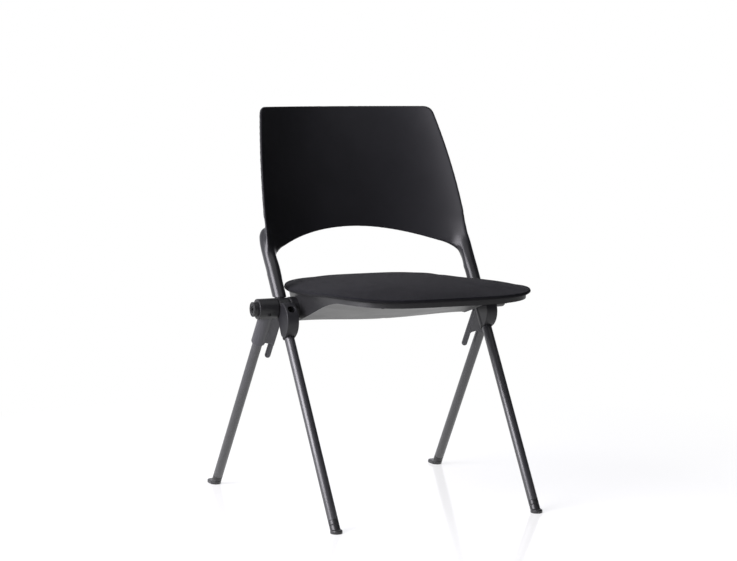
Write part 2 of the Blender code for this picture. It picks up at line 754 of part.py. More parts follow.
def make_backrest():
    rows = 8
    bm = bmesh.new()
    grid = []
    for share in panel_shares():
        low = arch_edge(share * BACK_HALF_WIDTH)
        high = back_top_edge(share)
        column = []
        for i in range(rows + 1):
            z = low + (high - low) * i / rows
            x = share * back_half_width(z)
            column.append(bm.verts.new((x, back_front(x, z), z)))
        grid.append(column)
    for left, right in zip(grid, grid[1:]):
        for i in range(rows):
            bm.faces.new((left[i], right[i], right[i + 1], left[i + 1]))
    mesh = bpy.data.meshes.new("backrest_shell")
    bm.to_mesh(mesh)
    bm.free()
    shell = add_object("backrest_shell", mesh, "back_plastic")
    thick = shell.modifiers.new("thickness", "SOLIDIFY")
    thick.thickness = BACK_THICKNESS
    thick.offset = -1
    for word, side in SIDES.items():
        join(shell, loft(f"back_column_{word}", column_rings(side)))
        hub, down = front_line(side)
        top = (COLUMN_FOOT - HUB_HEIGHT) / -down.z + LEG_IN_COLUMN + SEAT_GAP
        cut(shell, cylinder(f"back_column_bore_{word}", hub, hub - down * top, LEG_HOLE))


def column_rings(side):
    """Level sections of a column: round below, then sinking into the panel from both sides."""
    hub, down = front_line(side)
    radius = COLUMN_DIAMETER / 2
    level_radius = radius / math.sqrt(1 - down.y**2)
    rounding_start = COLUMN_TOP - COLUMN_ROUND
    heights = [COLUMN_FOOT, COLUMN_FOOT + 0.4 * (ARCH_FOOT - COLUMN_FOOT)]
    heights += [ARCH_FOOT + (rounding_start - ARCH_FOOT) * i / 5 for i in range(6)]
    heights += [rounding_start + COLUMN_ROUND * share for share in (0.3, 0.55, 0.75, 0.9, 1.0)]
    rings = []
    for z in heights:
        centre = hub - down * ((z - HUB_HEIGHT) / -down.z)
        rise = min(max((z - ARCH_FOOT) / (COLUMN_TOP - ARCH_FOOT), 0.0), 1.0)
        ahead = 1 - (1 - COLUMN_SUNK) * rise * rise * (3 - 2 * rise)
        share = min(max((z - rounding_start) / COLUMN_ROUND, 0.0), 1.0)
        behind = COLUMN_SUNK + (1 - COLUMN_SUNK) * math.sqrt(1 - share**2)
        inner = abs(centre.x) - radius
        outer = abs(centre.x) + radius
        outer += (back_half_width(z) - BACK_THICKNESS * 0.2 - outer) * rise**3
        half = (outer - inner) / 2
        ring = []
        for i in range(COLUMN_SIDES):
            angle = 2 * math.pi * i / COLUMN_SIDES
            x = side * (inner + half) + half * math.cos(angle)
            y = centre.y + level_radius * math.sin(angle)
            panel = back_front(x, z) + BACK_THICKNESS * 0.6
            ring.append((x, panel + (y - panel) * (ahead if y < panel else behind), z))
        rings.append(ring)
    return rings


# Seat: moulded pan, board and upholstered pad, turning on the beam


def seat_outline(inset=0.0, count=OUTLINE_SIDES):
    """The seat's plan outline, drawn in by an inset, as (x, y) points."""
    points = []
    for i in range(count):
        angle = 2 * math.pi * (i + 0.5) / count
        cos, sin = math.cos(angle), math.sin(angle)
        power = SEAT_REAR_POWER if sin > 0 else SEAT_FRONT_POWER
        reach = (SEAT_REAR_REACH if sin > 0 else SEAT_FRONT_REACH) - inset
        y = SEAT_WIDEST_Y + math.copysign(abs(sin) ** (2 / power), sin) * reach
        x = math.copysign(abs(cos) ** (2 / power), cos) * (full_half_width(y) - inset)
        points.append((x, y))
    return points


def full_half_width(y):
    """Half width before the corners are rounded: full in front, waisted where the seat passes the columns."""
    share = min(max((HUB_Y - SEAT_WAIST_AHEAD - y) / SEAT_WAIST_BLEND, 0.0), 1.0)
    share = share * share * (3 - 2 * share)
    return SEAT_WAIST_HALF_WIDTH + (SEAT_HALF_WIDTH - SEAT_WAIST_HALF_WIDTH) * share


def scaled(points, share):
    """The outline shrunk towards the middle of the seat."""
    return [(x * share, SEAT_WIDEST_Y + (y - SEAT_WIDEST_Y) * share) for x, y in points]


def sag(x, y):
    """How far the seat lies below its level: its front edge rolls down, and its sides droop at the pivots."""
    start = SEAT_WIDEST_Y - SEAT_FRONT_REACH * 0.5
    share = max(0.0, (start - y) / (SEAT_FRONT_REACH * 0.5))
    side = (abs(x) / SEAT_WAIST_HALF_WIDTH) ** 3 * math.exp(-(((y - HUB_Y) / SEAT_DROOP_LENGTH) ** 2))
    return SEAT_FRONT_ROLL * min(share, 1.0) ** 2 + SEAT_SIDE_DROOP * min(side, 1.0)


def pad_bottom():
    return SEAT_EDGE_HEIGHT - PAD_RIM


def pan_rim():
    return pad_bottom() - SEAT_GAP


def board_bottom():
    return pad_bottom() + SEAT_GAP


def board_top():
    return board_bottom() + BOARD_THICKNESS


def pan_half_width(y):
    """Half width of the pan's outline at this place."""
    ahead = y < SEAT_WIDEST_Y
    power = SEAT_FRONT_POWER if ahead else SEAT_REAR_POWER
    reach = (SEAT_FRONT_REACH if ahead else SEAT_REAR_REACH) - PAN_INSET
    share = min(abs(y - SEAT_WIDEST_Y) / reach, 1.0)
    return (full_half_width(y) - PAN_INSET) * (1 - share**power) ** (1 / power)


def belly(x, y):
    """Depth of the pan below its band: deepest under the hub axis, square-sided there, rounded in front."""
    front = SEAT_FRONT_Y + PAN_INSET
    rear = SEAT_REAR_Y - PAN_INSET
    if y < HUB_Y:
        depth = PAN_BELLY * max(0.0, (y - front) / (HUB_Y - front))
    else:
        depth = PAN_BELLY * max(0.0, 1 - ((y - HUB_Y) / (rear - HUB_Y)) ** 2)
    power = 2 + BELLY_SQUARE_POWER * math.exp(-(((y - HUB_Y) / BELLY_SQUARE_LENGTH) ** 2))
    share = min(abs(x) / max(pan_half_width(y), 0.001), 1.0)
    return depth * (1 - share**power)


def pan_under(x, y):
    """Height of the pan's underside."""
    return pan_rim() - sag(x, y) - PAN_BAND - belly(x, y)


def make_pan():
    """The moulded pan: rim, band and belly as an open surface with a wall, pivot bosses and screw posts."""
    outline = seat_outline(PAN_INSET)
    shares = (0.99, 0.97, 0.94, 0.89, 0.82, 0.7, 0.52, 0.32, 0.12)
    bm = bmesh.new()
    rings = []
    for drop in (0.0, PAN_BAND * 0.6):
        rings.append([bm.verts.new((x, y, pan_rim() - sag(x, y) - drop)) for x, y in outline])
    for share in shares:
        inner = [(x * share, HUB_Y + (y - HUB_Y) * share) for x, y in outline]
        rings.append([bm.verts.new((x, y, pan_under(x, y))) for x, y in inner])
    for outer, inner in zip(rings, rings[1:]):
        for i in range(len(outer)):
            j = (i + 1) % len(outer)
            bm.faces.new((outer[i], inner[i], inner[j], outer[j]))
    bm.faces.new(list(reversed(rings[-1])))
    bmesh.ops.recalc_face_normals(bm, faces=bm.faces)
    if sum(face.normal.z for face in bm.faces) > 0:
        bmesh.ops.reverse_faces(bm, faces=bm.faces)
    mesh = bpy.data.meshes.new("seat_pan")
    bm.to_mesh(mesh)
    bm.free()
    pan = add_object("seat_pan", mesh, "pan_plastic")
    wall = pan.modifiers.new("wall", "SOLIDIFY")
    wall.thickness = PAN_WALL
    wall.offset = -1
    boss_end = BEAM_END - BUSH_FLANGE - SEAT_GAP
    boss_radius = BEAM_RADIUS + RUNNING_GAP + BUSH_WALL + SEAT_GAP + PIVOT_BOSS_WALL
    for word, side in SIDES.items():
        start, end = on_axis(side * (boss_end - PIVOT_BOSS_LENGTH)), on_axis(side * boss_end)
        join(pan, cylinder(f"pan_boss_{word}", start, end, 2 * boss_radius))
    for name, x, y in pad_screw_places():
        low = pan_under(x, y)
        start, end = (x, y, low + PAN_WALL * 0.5), (x, y, board_bottom() - SEAT_GAP)
        join(pan, cylinder(name + "_post", start, end, PAD_SCREW_POST_DIAMETER, sides=SMALL_SIDES))
    bore = 2 * (BEAM_RADIUS + RUNNING_GAP + BUSH_WALL + SEAT_GAP)
    for word, side in SIDES.items():
        start = on_axis(side * (boss_end - PIVOT_BOSS_LENGTH - CUT_OVER))
        cut(pan, cylinder(f"pan_bore_{word}", start, on_axis(side * (BEAM_END + CUT_OVER)), bore))
    for name, x, y in pad_screw_places():
        low = pan_under(x, y)
        below, head, top = (x, y, low - CUT_OVER), (x, y, low + PAN_WALL), (x, y, board_top())
        way, sink = PAD_SCREW_DIAMETER + 2 * SEAT_GAP, PAD_SCREW_HEAD_DIAMETER + 2 * SEAT_GAP
        cut(
            pan,
            cylinder(name + "_way", below, top, way, sides=SMALL_SIDES),
            cylinder(name + "_sink", below, head, sink, sides=SMALL_SIDES),
        )


def pad_screw_places():
    for word, side in SIDES.items():
        yield f"pad_screw_front_{word}", side * PAD_SCREW_FRONT_X, SEAT_FRONT_Y + PAD_SCREW_FRONT_INSET
        yield f"pad_screw_rear_{word}", side * PAD_SCREW_REAR_X, SEAT_REAR_Y - PAD_SCREW_REAR_INSET


def make_board():
    points = seat_outline(BOARD_INSET)
    rings = [[(x, y, z) for x, y in points] for z in (board_bottom(), board_top())]
    board = loft("seat_board", rings, "seat_board")
    for name, x, y in pad_screw_places():
        start = (x, y, board_bottom() - CUT_OVER)
        end = (x, y, board_bottom() + PAD_SCREW_GRIP + SEAT_GAP)
        cut(board, cylinder(name + "_hole", start, end, PAD_SCREW_DIAMETER + 2 * SEAT_GAP, sides=SMALL_SIDES))


def make_pad_screws():
    for name, x, y in pad_screw_places():
        low = pan_under(x, y)
        seat = low + PAN_WALL - SEAT_GAP
        head = PAD_SCREW_HEAD_DIAMETER / 2
        shank = PAD_SCREW_DIAMETER / 2
        bottom = seat - PAD_SCREW_HEAD_LENGTH
        key = shank * 0.7
        top = board_bottom() + PAD_SCREW_GRIP
        profile = [
            (0, top),
            (shank, top),
            (shank, seat),
            (head, seat),
            (head, bottom),
            (key, bottom),
            (key, bottom + PAD_SCREW_HEAD_LENGTH * 0.5),
            (0, bottom + PAD_SCREW_HEAD_LENGTH * 0.5),
        ]
        turned(name, profile, (x, y, 0), (0, 0, 1), "black_steel", 12)


def make_pad():
    """The upholstered pad: a pocket for the board, sides drawn in above and below its rim, a crown on top."""
    outline = seat_outline()
    drawn = seat_outline(PAD_TUCK)
    low = [(x, y, pad_bottom() - sag(x, y)) for x, y in drawn]
    rim_low = [(x, y, pad_bottom() + PAD_RIM * 0.3 - sag(x, y)) for x, y in seat_outline(PAD_TUCK * 0.3)]
    rim = [(x, y, pad_bottom() + PAD_RIM * 0.6 - sag(x, y)) for x, y in outline]
    rim_high = [(x, y, pad_bottom() + PAD_RIM * 0.85 - sag(x, y)) for x, y in seat_outline(PAD_TUCK * 0.3)]
    pocket = seat_outline(BOARD_INSET - SEAT_GAP)
    roof = [(x, y, board_top() + SEAT_GAP) for x, y in pocket]
    mouth = [(x, y, pad_bottom() - sag(x, y)) for x, y in pocket]
    rings = [roof, mouth, low, rim_low, rim, rim_high]
    for share in (1.0, 0.96, 0.9, 0.8, 0.65, 0.45, 0.2):
        crown = PAD_CROWN * (1 - share**4)
        rings.append([(x, y, SEAT_EDGE_HEIGHT + crown - sag(x, y)) for x, y in scaled(drawn, share)])
    loft("seat_pad", rings, "seat_fabric")


def make_bush(word, side):
    inner = BEAM_RADIUS + RUNNING_GAP
    outer = inner + BUSH_WALL
    flange = outer + SEAT_GAP + BUSH_FLANGE_RIM
    end = BEAM_END
    profile = [
        (flange, end),
        (flange, end - BUSH_FLANGE),
        (outer, end - BUSH_FLANGE),
        (outer, end - BUSH_FLANGE - BUSH_LENGTH),
        (inner, end - BUSH_FLANGE - BUSH_LENGTH),
        (inner, end),
    ]
    turned(f"pivot_bush_{word}", profile, on_axis(0), Vector((side, 0, 0)), "bush_nylon")


for label, sign in SIDES.items():
    make_legs(label, sign)
    make_foot(f"front_foot_{label}", front_line, sign, FRONT_TOE)
    make_foot(f"rear_foot_{label}", rear_line, sign, REAR_TOE)
    make_front_bracket(label, sign)
    make_clamp_screw(label, sign)
    make_rear_bracket(label, sign)
    make_grub_screw(label, sign)
    make_hub_end(label, sign)
    make_beam_plug(label, sign)
    make_stop(label, sign)
    make_bush(label, sign)
make_beam()
make_backrest()
make_pan()
make_board()
make_pad_screws()
make_pad()

# The seat and what turns with it hang from an empty on the hub axis
seat_axis = bpy.data.objects.new("seat_axis", None)
seat_axis.empty_display_size = BEAM_DIAMETER
seat_axis.location = on_axis(0)
PARTS.objects.link(seat_axis)
bpy.context.view_layer.update()
for piece in PARTS.objects:
    if piece.name.startswith(("seat_p", "seat_b", "pivot_bush", "pad_screw")):
        piece.parent = seat_axis
        piece.matrix_parent_inverse = seat_axis.matrix_world.inverted()
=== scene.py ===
# %% [markdown]
# # A tip-up chair, dressed over its CAD frame
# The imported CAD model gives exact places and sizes: four steel legs, two hubs, a moulded back on two
# columns and an upholstered seat that tips up about the hub axis. This lesson models each visible piece
# anew with Blender's own tools, so that edges are rounded, surfaces are smooth and every finish has its
# detail. The CAD pieces that sit inside, such as the beam and the bushes, stay and only get a better
# finish.

# %% Load the frame
import math

import bmesh
import bpy
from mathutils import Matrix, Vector


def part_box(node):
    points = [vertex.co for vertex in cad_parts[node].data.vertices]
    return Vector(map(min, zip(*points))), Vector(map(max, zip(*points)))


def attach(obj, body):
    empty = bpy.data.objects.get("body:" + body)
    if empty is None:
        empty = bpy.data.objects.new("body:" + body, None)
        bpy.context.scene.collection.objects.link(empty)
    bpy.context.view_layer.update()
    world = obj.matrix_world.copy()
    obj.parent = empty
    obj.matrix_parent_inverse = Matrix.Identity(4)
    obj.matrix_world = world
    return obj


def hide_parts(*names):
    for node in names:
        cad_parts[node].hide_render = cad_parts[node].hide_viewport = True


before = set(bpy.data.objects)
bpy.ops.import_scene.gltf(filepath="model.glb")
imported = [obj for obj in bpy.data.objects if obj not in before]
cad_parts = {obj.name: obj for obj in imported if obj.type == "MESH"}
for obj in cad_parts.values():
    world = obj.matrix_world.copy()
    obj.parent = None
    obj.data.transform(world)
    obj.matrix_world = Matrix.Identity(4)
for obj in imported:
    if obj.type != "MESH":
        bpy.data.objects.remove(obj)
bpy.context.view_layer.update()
scene = bpy.context.scene
scene.view_settings.view_transform = "Standard"

# %% [markdown]
# ## The camera
# The photograph was taken from the chair's right, at about the height of its top, with a long lens. The
# camera was fitted to pairs of points that mirror each other, such as the feet and the tops of the legs,
# so the render can be laid over the photograph. There is no roll, so a tracking turn from the viewing
# direction is enough.

# %% Camera
PHOTO_WIDTH = 737
FOCAL_PIXELS = 1968
camera_aim = Vector((0.4161, 0.9037, -0.1008)).to_track_quat("-Z", "Y").to_euler()
bpy.ops.object.camera_add(location=(-1.692, -3.5951, 0.852), rotation=camera_aim)
camera = bpy.context.object
camera.data.sensor_width = 36.0
camera.data.sensor_fit = "HORIZONTAL"
camera.data.lens = FOCAL_PIXELS * 36.0 / PHOTO_WIDTH
scene.camera = camera
print("lens", round(camera.data.lens, 2), "mm")

# %% [markdown]
# ## Small helpers for working as by hand
# An operator acts on whatever is selected, so each step first selects exactly what it needs. These few
# helpers select one object, pick faces or edges by a test, apply a modifier, and join or cut with a
# Boolean. Each finished piece keeps its place in its mesh, with the object itself at the origin.


# %% Selecting, modifying, joining and cutting
def only(piece):
    """Select this object alone and make it active."""
    bpy.ops.object.select_all(action="DESELECT")
    piece.select_set(True)
    bpy.context.view_layer.objects.active = piece


def added(name):
    """The primitive just added, named, with its place moved into its mesh."""
    piece = bpy.context.object
    piece.name = name
    piece.data.name = name
    bpy.ops.object.transform_apply(location=True, rotation=True, scale=True)
    return piece


def edit(piece):
    only(piece)
    bpy.ops.object.mode_set(mode="EDIT")


def leave():
    bpy.ops.object.mode_set(mode="OBJECT")


def pick(kind, test):
    """In edit mode, select only the faces, edges or verts that pass the test."""
    bpy.ops.mesh.select_mode(type={"faces": "FACE", "edges": "EDGE", "verts": "VERT"}[kind])
    bpy.ops.mesh.select_all(action="DESELECT")
    cage = bmesh.from_edit_mesh(bpy.context.edit_object.data)
    for item in [item for item in getattr(cage, kind) if test(item)]:
        item.select_set(True)
    bmesh.update_edit_mesh(bpy.context.edit_object.data)


def shaped(piece, kind, **values):
    """Add a modifier with these values and apply it."""
    modifier = piece.modifiers.new(kind.title(), kind)
    for key, value in values.items():
        setattr(modifier, key, value)
    only(piece)
    bpy.ops.object.modifier_apply(modifier=modifier.name)


def boolean(piece, operation, others):
    for other in others:
        shaped(piece, "BOOLEAN", object=other, operation=operation, solver="EXACT")
        bpy.data.objects.remove(other, do_unlink=True)


def joined(piece, *others):
    boolean(piece, "UNION", others)


def cut(piece, *others):
    boolean(piece, "DIFFERENCE", others)


def face_out(piece):
    """Merge doubles, then turn every face outwards."""
    edit(piece)
    bpy.ops.mesh.select_all(action="SELECT")
    bpy.ops.mesh.remove_doubles(threshold=0.000005)
    bpy.ops.mesh.normals_make_consistent(inside=False)
    leave()


def bar(name, start, end, diameter, sides=64):
    """A round bar between two points, as a start for a piece or as a cutter."""
    start, end = Vector(start), Vector(end)
    along = end - start
    bpy.ops.object.select_all(action="DESELECT")
    bpy.ops.mesh.primitive_cylinder_add(
        vertices=sides,
        radius=diameter / 2,
        depth=along.length,
        location=(start + end) / 2,
        rotation=along.to_track_quat("Z", "Y").to_euler(),
    )
    return added(name)


def moulded(piece, voxel, passes):
    """Melt joined forms into one skin, as in a mould: a fine voxel remesh, then smoothing."""
    only(piece)
    piece.data.remesh_voxel_size = voxel
    bpy.ops.object.voxel_remesh()
    shaped(piece, "SMOOTH", factor=0.5, iterations=passes)
    only(piece)
    bpy.ops.object.shade_smooth()


def smooth(piece, degrees=35):
    """Soft shading, with edges sharper than this angle left crisp."""
    only(piece)
    bpy.ops.object.shade_smooth_by_angle(angle=math.radians(degrees))


def mirrored(piece, name):
    """The other side's piece: a copy with its own mesh, turned over in X and faced outwards again."""
    only(piece)
    bpy.ops.object.duplicate(linked=False)
    twin = bpy.context.object
    twin.scale.x = -1.0
    added(name)
    face_out(twin)
    return twin


print("helpers ready")

# %% [markdown]
# ## Where things are
# The hub axis runs across the chair at seat height. Each leg is a straight line from the hub to the floor:
# the front pair leans forward and runs on up into the back, and the rear pair stands further out so that
# chairs nest. Everything else is placed from these lines, with the CAD's own numbers.

# %% Hub axis and leg lines
HUB_Y, HUB_Z = 0.0101, 0.4030
HUB_RADIUS = 0.0205
LEG_DIAMETER = 0.0200
LEG_WALL = 0.0020
FIT = 0.0003
LEG_X = {"front": 0.2213, "rear": 0.2517}
FOOT_X = {"front": 0.2170, "rear": 0.2630}
LEAN = {"front": math.radians(-32.35), "rear": math.radians(34.45)}
RIGHT = -1.0


def on_axis(x):
    return Vector((x, HUB_Y, HUB_Z))


def leg_line(pair, side=RIGHT):
    """A leg's point on the hub axis, its point on the floor, and the unit direction down it."""
    hub = on_axis(side * LEG_X[pair])
    floor = Vector((side * FOOT_X[pair], HUB_Y + math.tan(LEAN[pair]) * HUB_Z, 0.0))
    return hub, floor, (floor - hub).normalized()


for pair in LEG_X:
    print(pair, "leg meets the floor at", [round(v, 4) for v in leg_line(pair)[1]])

# %% [markdown]
# ## Shared effects for the finishes
# Several finishes use the same effects, so each effect is a node group that is built once. Moulded grain
# is a fine noise for the bump and a slow one that mottles colour and gloss. Scuffs are a broken-up mask
# that grows towards the floor. Weave crosses two sets of threads, over and under by a chequer, for woven
# cloth. A group only puts out values that vary over the surface, and the shader stays in each material.


# %% Node helpers and the shared groups
def put(tree, kind, sockets=None, **settings):
    """Add a node. Settings are its own options, sockets are values or links for its inputs."""
    made = tree.nodes.new("ShaderNode" + kind)
    for key, value in settings.items():
        setattr(made, key, value)
    for key, value in (sockets or {}).items():
        if isinstance(value, bpy.types.NodeSocket):
            tree.links.new(value, made.inputs[key])
        else:
            made.inputs[key].default_value = value
    return made


def effect(name, inputs, outputs):
    """An empty shader group with named number sockets, and its two end nodes."""
    group = bpy.data.node_groups.new(name, "ShaderNodeTree")
    for label, value in inputs.items():
        socket = group.interface.new_socket(label, in_out="INPUT", socket_type="NodeSocketFloat")
        socket.default_value = value
    for label in outputs:
        group.interface.new_socket(label, in_out="OUTPUT", socket_type="NodeSocketFloat")
    return group, group.nodes.new("NodeGroupInput").outputs, group.nodes.new("NodeGroupOutput").inputs


grain, given, out = effect("moulded_grain", {"Scale": 900.0, "Mottle Scale": 12.0}, ["Grain", "Mottle"])
place = put(grain, "TexCoord").outputs["Object"]
fine = put(grain, "TexNoise", {"Vector": place, "Scale": given["Scale"], "Detail": 3.0, "Roughness": 0.6})
slow = put(grain, "TexNoise", {"Vector": place, "Scale": given["Mottle Scale"], "Detail": 4.0})
grain.links.new(fine.outputs["Fac"], out["Grain"])
grain.links.new(slow.outputs["Fac"], out["Mottle"])

scuffs, given, out = effect("floor_scuffs", {"Height": 0.05, "Scale": 260.0}, ["Mask"])
place = put(scuffs, "TexCoord").outputs["Object"]
level = put(scuffs, "SeparateXYZ", {"Vector": place}).outputs["Z"]
low = put(scuffs, "MapRange", {"Value": level, "From Max": given["Height"], "To Min": 1.0, "To Max": 0.0})
marks = put(scuffs, "TexNoise", {"Vector": place, "Scale": given["Scale"], "Detail": 5.0, "Roughness": 0.7})
broken = put(scuffs, "MapRange", {"Value": marks.outputs["Fac"], "From Min": 0.52, "From Max": 0.68})
both = put(scuffs, "Math", {0: low.outputs[0], 1: broken.outputs[0]}, operation="MULTIPLY")
scuffs.links.new(both.outputs[0], out["Mask"])

weave, given, out = effect("plain_weave", {"Threads": 900.0}, ["Height", "Shade"])
place = put(weave, "TexCoord").outputs["Object"]
waver = put(weave, "TexNoise", {"Vector": place, "Scale": 70.0, "Detail": 2.0})
bend = put(weave, "VectorMath", {0: waver.outputs["Color"], 1: (0.0006, 0.0006, 0.0)}, operation="MULTIPLY")
bent = put(weave, "VectorMath", {0: place, 1: bend.outputs[0]}).outputs[0]
wave_scale = put(weave, "Math", {0: given["Threads"], 1: 0.31416}, operation="MULTIPLY").outputs[0]
warp = put(weave, "TexWave", {"Vector": bent, "Scale": wave_scale}, bands_direction="X")
weft = put(weave, "TexWave", {"Vector": bent, "Scale": wave_scale}, bands_direction="Y")
over = put(weave, "TexChecker", {"Vector": bent, "Scale": given["Threads"]}).outputs["Fac"]
top = put(weave, "Mix", {"Factor": over, "A": warp.outputs["Fac"], "B": weft.outputs["Fac"]})
fuzz = put(weave, "TexNoise", {"Vector": place, "Scale": 2600.0, "Detail": 2.0}).outputs["Fac"]
height = put(weave, "Math", {0: fuzz, 1: 0.35, 2: top.outputs[0]}, operation="MULTIPLY_ADD")
tone = put(weave, "TexNoise", {"Vector": place, "Scale": 38.0, "Detail": 5.0, "Roughness": 0.65})
shade = put(weave, "Math", {0: top.outputs[0], 1: 0.45, 2: tone.outputs["Fac"]}, operation="MULTIPLY_ADD")
weave.links.new(height.outputs[0], out["Height"])
weave.links.new(shade.outputs[0], out["Shade"])
print("groups:", [group.name for group in bpy.data.node_groups])

# %% [markdown]
# ## The finishes
# The back is black satin polypropylene with a fine grain. The rear brackets are a greyer filled nylon.
# The front brackets take a darker copy of it, which paints their shade, and the black of the hubs also
# paints the deep shade where brackets and pan meet round them. The pan is a smoother moulding that shows
# the pale floor at a low angle, the legs are powder coated, and the feet are a glossier plastic. One maker
# serves them all, from a table: it mottles the colour and the gloss with the shared grain, and lets scuffs
# lighten the places near the floor. A row gives the colour, roughness, grain scale and depth, and what
# else differs. Cloth, steel and plywood follow.


# %% Plastics and paint
def finish(name, roughness, metallic=0.0, specular=0.5):
    """A material with its constants on the shader's own sockets."""
    made = bpy.data.materials.new(name)
    made.use_nodes = True
    shader = made.node_tree.nodes["Principled BSDF"]
    shader.inputs["Roughness"].default_value = roughness
    shader.inputs["Metallic"].default_value = metallic
    shader.inputs["Specular IOR Level"].default_value = specular
    return made, made.node_tree, shader


def shared(tree, group, **values):
    """Place a shared effect in a material, with this material's own values."""
    made = tree.nodes.new("ShaderNodeGroup")
    made.node_tree = group
    for key, value in values.items():
        made.inputs[key.replace("_", " ")].default_value = value
    return made.outputs


def two_tone(tree, factor, dark, light):
    mix = put(tree, "Mix", data_type="RGBA")
    tree.links.new(factor, mix.inputs[0])
    for index, colour in ((6, dark), (7, light)):
        if isinstance(colour, bpy.types.NodeSocket):
            tree.links.new(colour, mix.inputs[index])
        else:
            mix.inputs[index].default_value = (*colour, 1.0)
    return mix.outputs[2]


def plastic(name, colour, roughness, scale, depth, spread=0.05, specular=0.5, scuffed=0.0):
    made, tree, shader = finish(name, roughness, specular=specular)
    skin = shared(tree, grain, Scale=scale)
    base = two_tone(tree, skin["Mottle"], [c * 0.82 for c in colour], [c * 1.18 for c in colour])
    gloss = put(tree, "MapRange", {"Value": skin["Mottle"]})
    gloss.inputs["To Min"].default_value = roughness - 2 * spread
    gloss.inputs["To Max"].default_value = roughness + 2 * spread
    rough = gloss.outputs[0]
    if scuffed:
        marks = shared(tree, scuffs, Height=scuffed)["Mask"]
        base = two_tone(tree, marks, base, [c * 3.0 + 0.02 for c in colour])
        rough = put(tree, "Math", {0: marks, 1: 0.25, 2: rough}, operation="MULTIPLY_ADD").outputs[0]
    tree.links.new(base, shader.inputs["Base Color"])
    tree.links.new(rough, shader.inputs["Roughness"])
    bump = put(tree, "Bump", {"Height": skin["Grain"], "Strength": 0.6, "Distance": depth})
    tree.links.new(bump.outputs[0], shader.inputs["Normal"])
    return made


PLASTICS = {
    "back_plastic": ((0.0145, 0.0145, 0.0164), 0.32, 1100.0, 0.00006, {"spread": 0.015, "specular": 0.15}),
    "bracket_plastic": ((0.044, 0.044, 0.049), 0.46, 1300.0, 0.00007, {}),
    # A darker copy of the bracket nylon for the front brackets: painted shade.
    "shaded_bracket_plastic": ((0.013, 0.013, 0.015), 0.46, 1300.0, 0.00007, {"specular": 0.4}),
    # The link bosses' own dark plastic, also used to paint the deep shade round the hubs.
    "hub_plastic_and_painted_shade": ((0.008, 0.008, 0.009), 0.44, 1300.0, 0.00005, {}),
    "leg_paint": ((0.032, 0.032, 0.035), 0.36, 900.0, 0.00002, {"specular": 0.9, "scuffed": 0.06}),
    "foot_plastic": ((0.020, 0.020, 0.021), 0.32, 900.0, 0.00004, {"spread": 0.015, "scuffed": 0.012}),
    "pan_plastic": ((0.017, 0.017, 0.018), 0.42, 1200.0, 0.00006, {"specular": 0.42}),
    "bush_nylon": ((0.060, 0.060, 0.062), 0.45, 700.0, 0.00004, {}),
    "stop_rubber": ((0.016, 0.016, 0.016), 0.82, 500.0, 0.00008, {"specular": 0.3}),
}
FINISH = {}
for name, (colour, roughness, grain_scale, grain_depth, extras) in PLASTICS.items():
    FINISH[name] = plastic(name, colour, roughness, grain_scale, grain_depth, **extras)
print("plastics:", list(FINISH))

# %% [markdown]
# ### Smoother columns on the back
# The columns show longer and brighter highlights than the panel above them. A second material would leave
# a seam in the one moulding, so its finish gets a clear coat instead. The coat's weight grows from the
# panel's sides towards the columns, and fades out upwards where they sink into the panel.

# %% Coat on the columns
POLISH_SIDE = {"From Min": 0.195, "From Max": 0.220}
POLISH_FADE = {"From Min": 0.50, "From Max": 0.57, "To Min": 0.9, "To Max": 0.0}
tree = FINISH["back_plastic"].node_tree
place = put(tree, "SeparateXYZ", {"Vector": put(tree, "TexCoord").outputs["Object"]}).outputs
beside = put(tree, "Math", {0: place["X"]}, operation="ABSOLUTE").outputs[0]
column_side = put(tree, "MapRange", {"Value": beside, **POLISH_SIDE}).outputs[0]
low = put(tree, "MapRange", {"Value": place["Z"], **POLISH_FADE}).outputs[0]
polish = put(tree, "Math", {0: column_side, 1: low}, operation="MULTIPLY")
shader = tree.nodes["Principled BSDF"]
shader.inputs["Coat Roughness"].default_value = 0.28
tree.links.new(polish.outputs[0], shader.inputs["Coat Weight"])
print("columns polished below the panel")


# %% Cloth, steel and plywood
def cloth(name, dark, light, threads, sheen):
    made, tree, shader = finish(name, 0.9, specular=0.1)
    shader.inputs["Sheen Weight"].default_value = sheen
    shader.inputs["Sheen Roughness"].default_value = 0.45
    threading = shared(tree, weave, Threads=threads)
    shade = put(tree, "MapRange", {"Value": threading["Shade"], "From Min": 0.35, "From Max": 1.05})
    tree.links.new(two_tone(tree, shade.outputs[0], dark, light), shader.inputs["Base Color"])
    bump = put(tree, "Bump", {"Height": threading["Height"], "Strength": 0.7, "Distance": 0.00022})
    tree.links.new(bump.outputs[0], shader.inputs["Normal"])
    return made


def steel(name, colour, roughness, brushed):
    made, tree, shader = finish(name, roughness, metallic=1.0)
    skin = shared(tree, grain, Scale=brushed, Mottle_Scale=60.0)
    base = two_tone(tree, skin["Mottle"], [c * 0.75 for c in colour], [min(c * 1.2, 1.0) for c in colour])
    tree.links.new(base, shader.inputs["Base Color"])
    gloss = put(tree, "MapRange", {"Value": skin["Grain"], "To Min": roughness - 0.08})
    gloss.inputs["To Max"].default_value = roughness + 0.12
    tree.links.new(gloss.outputs[0], shader.inputs["Roughness"])
    bump = put(tree, "Bump", {"Height": skin["Grain"], "Strength": 0.3, "Distance": 0.00003})
    tree.links.new(bump.outputs[0], shader.inputs["Normal"])
    return made


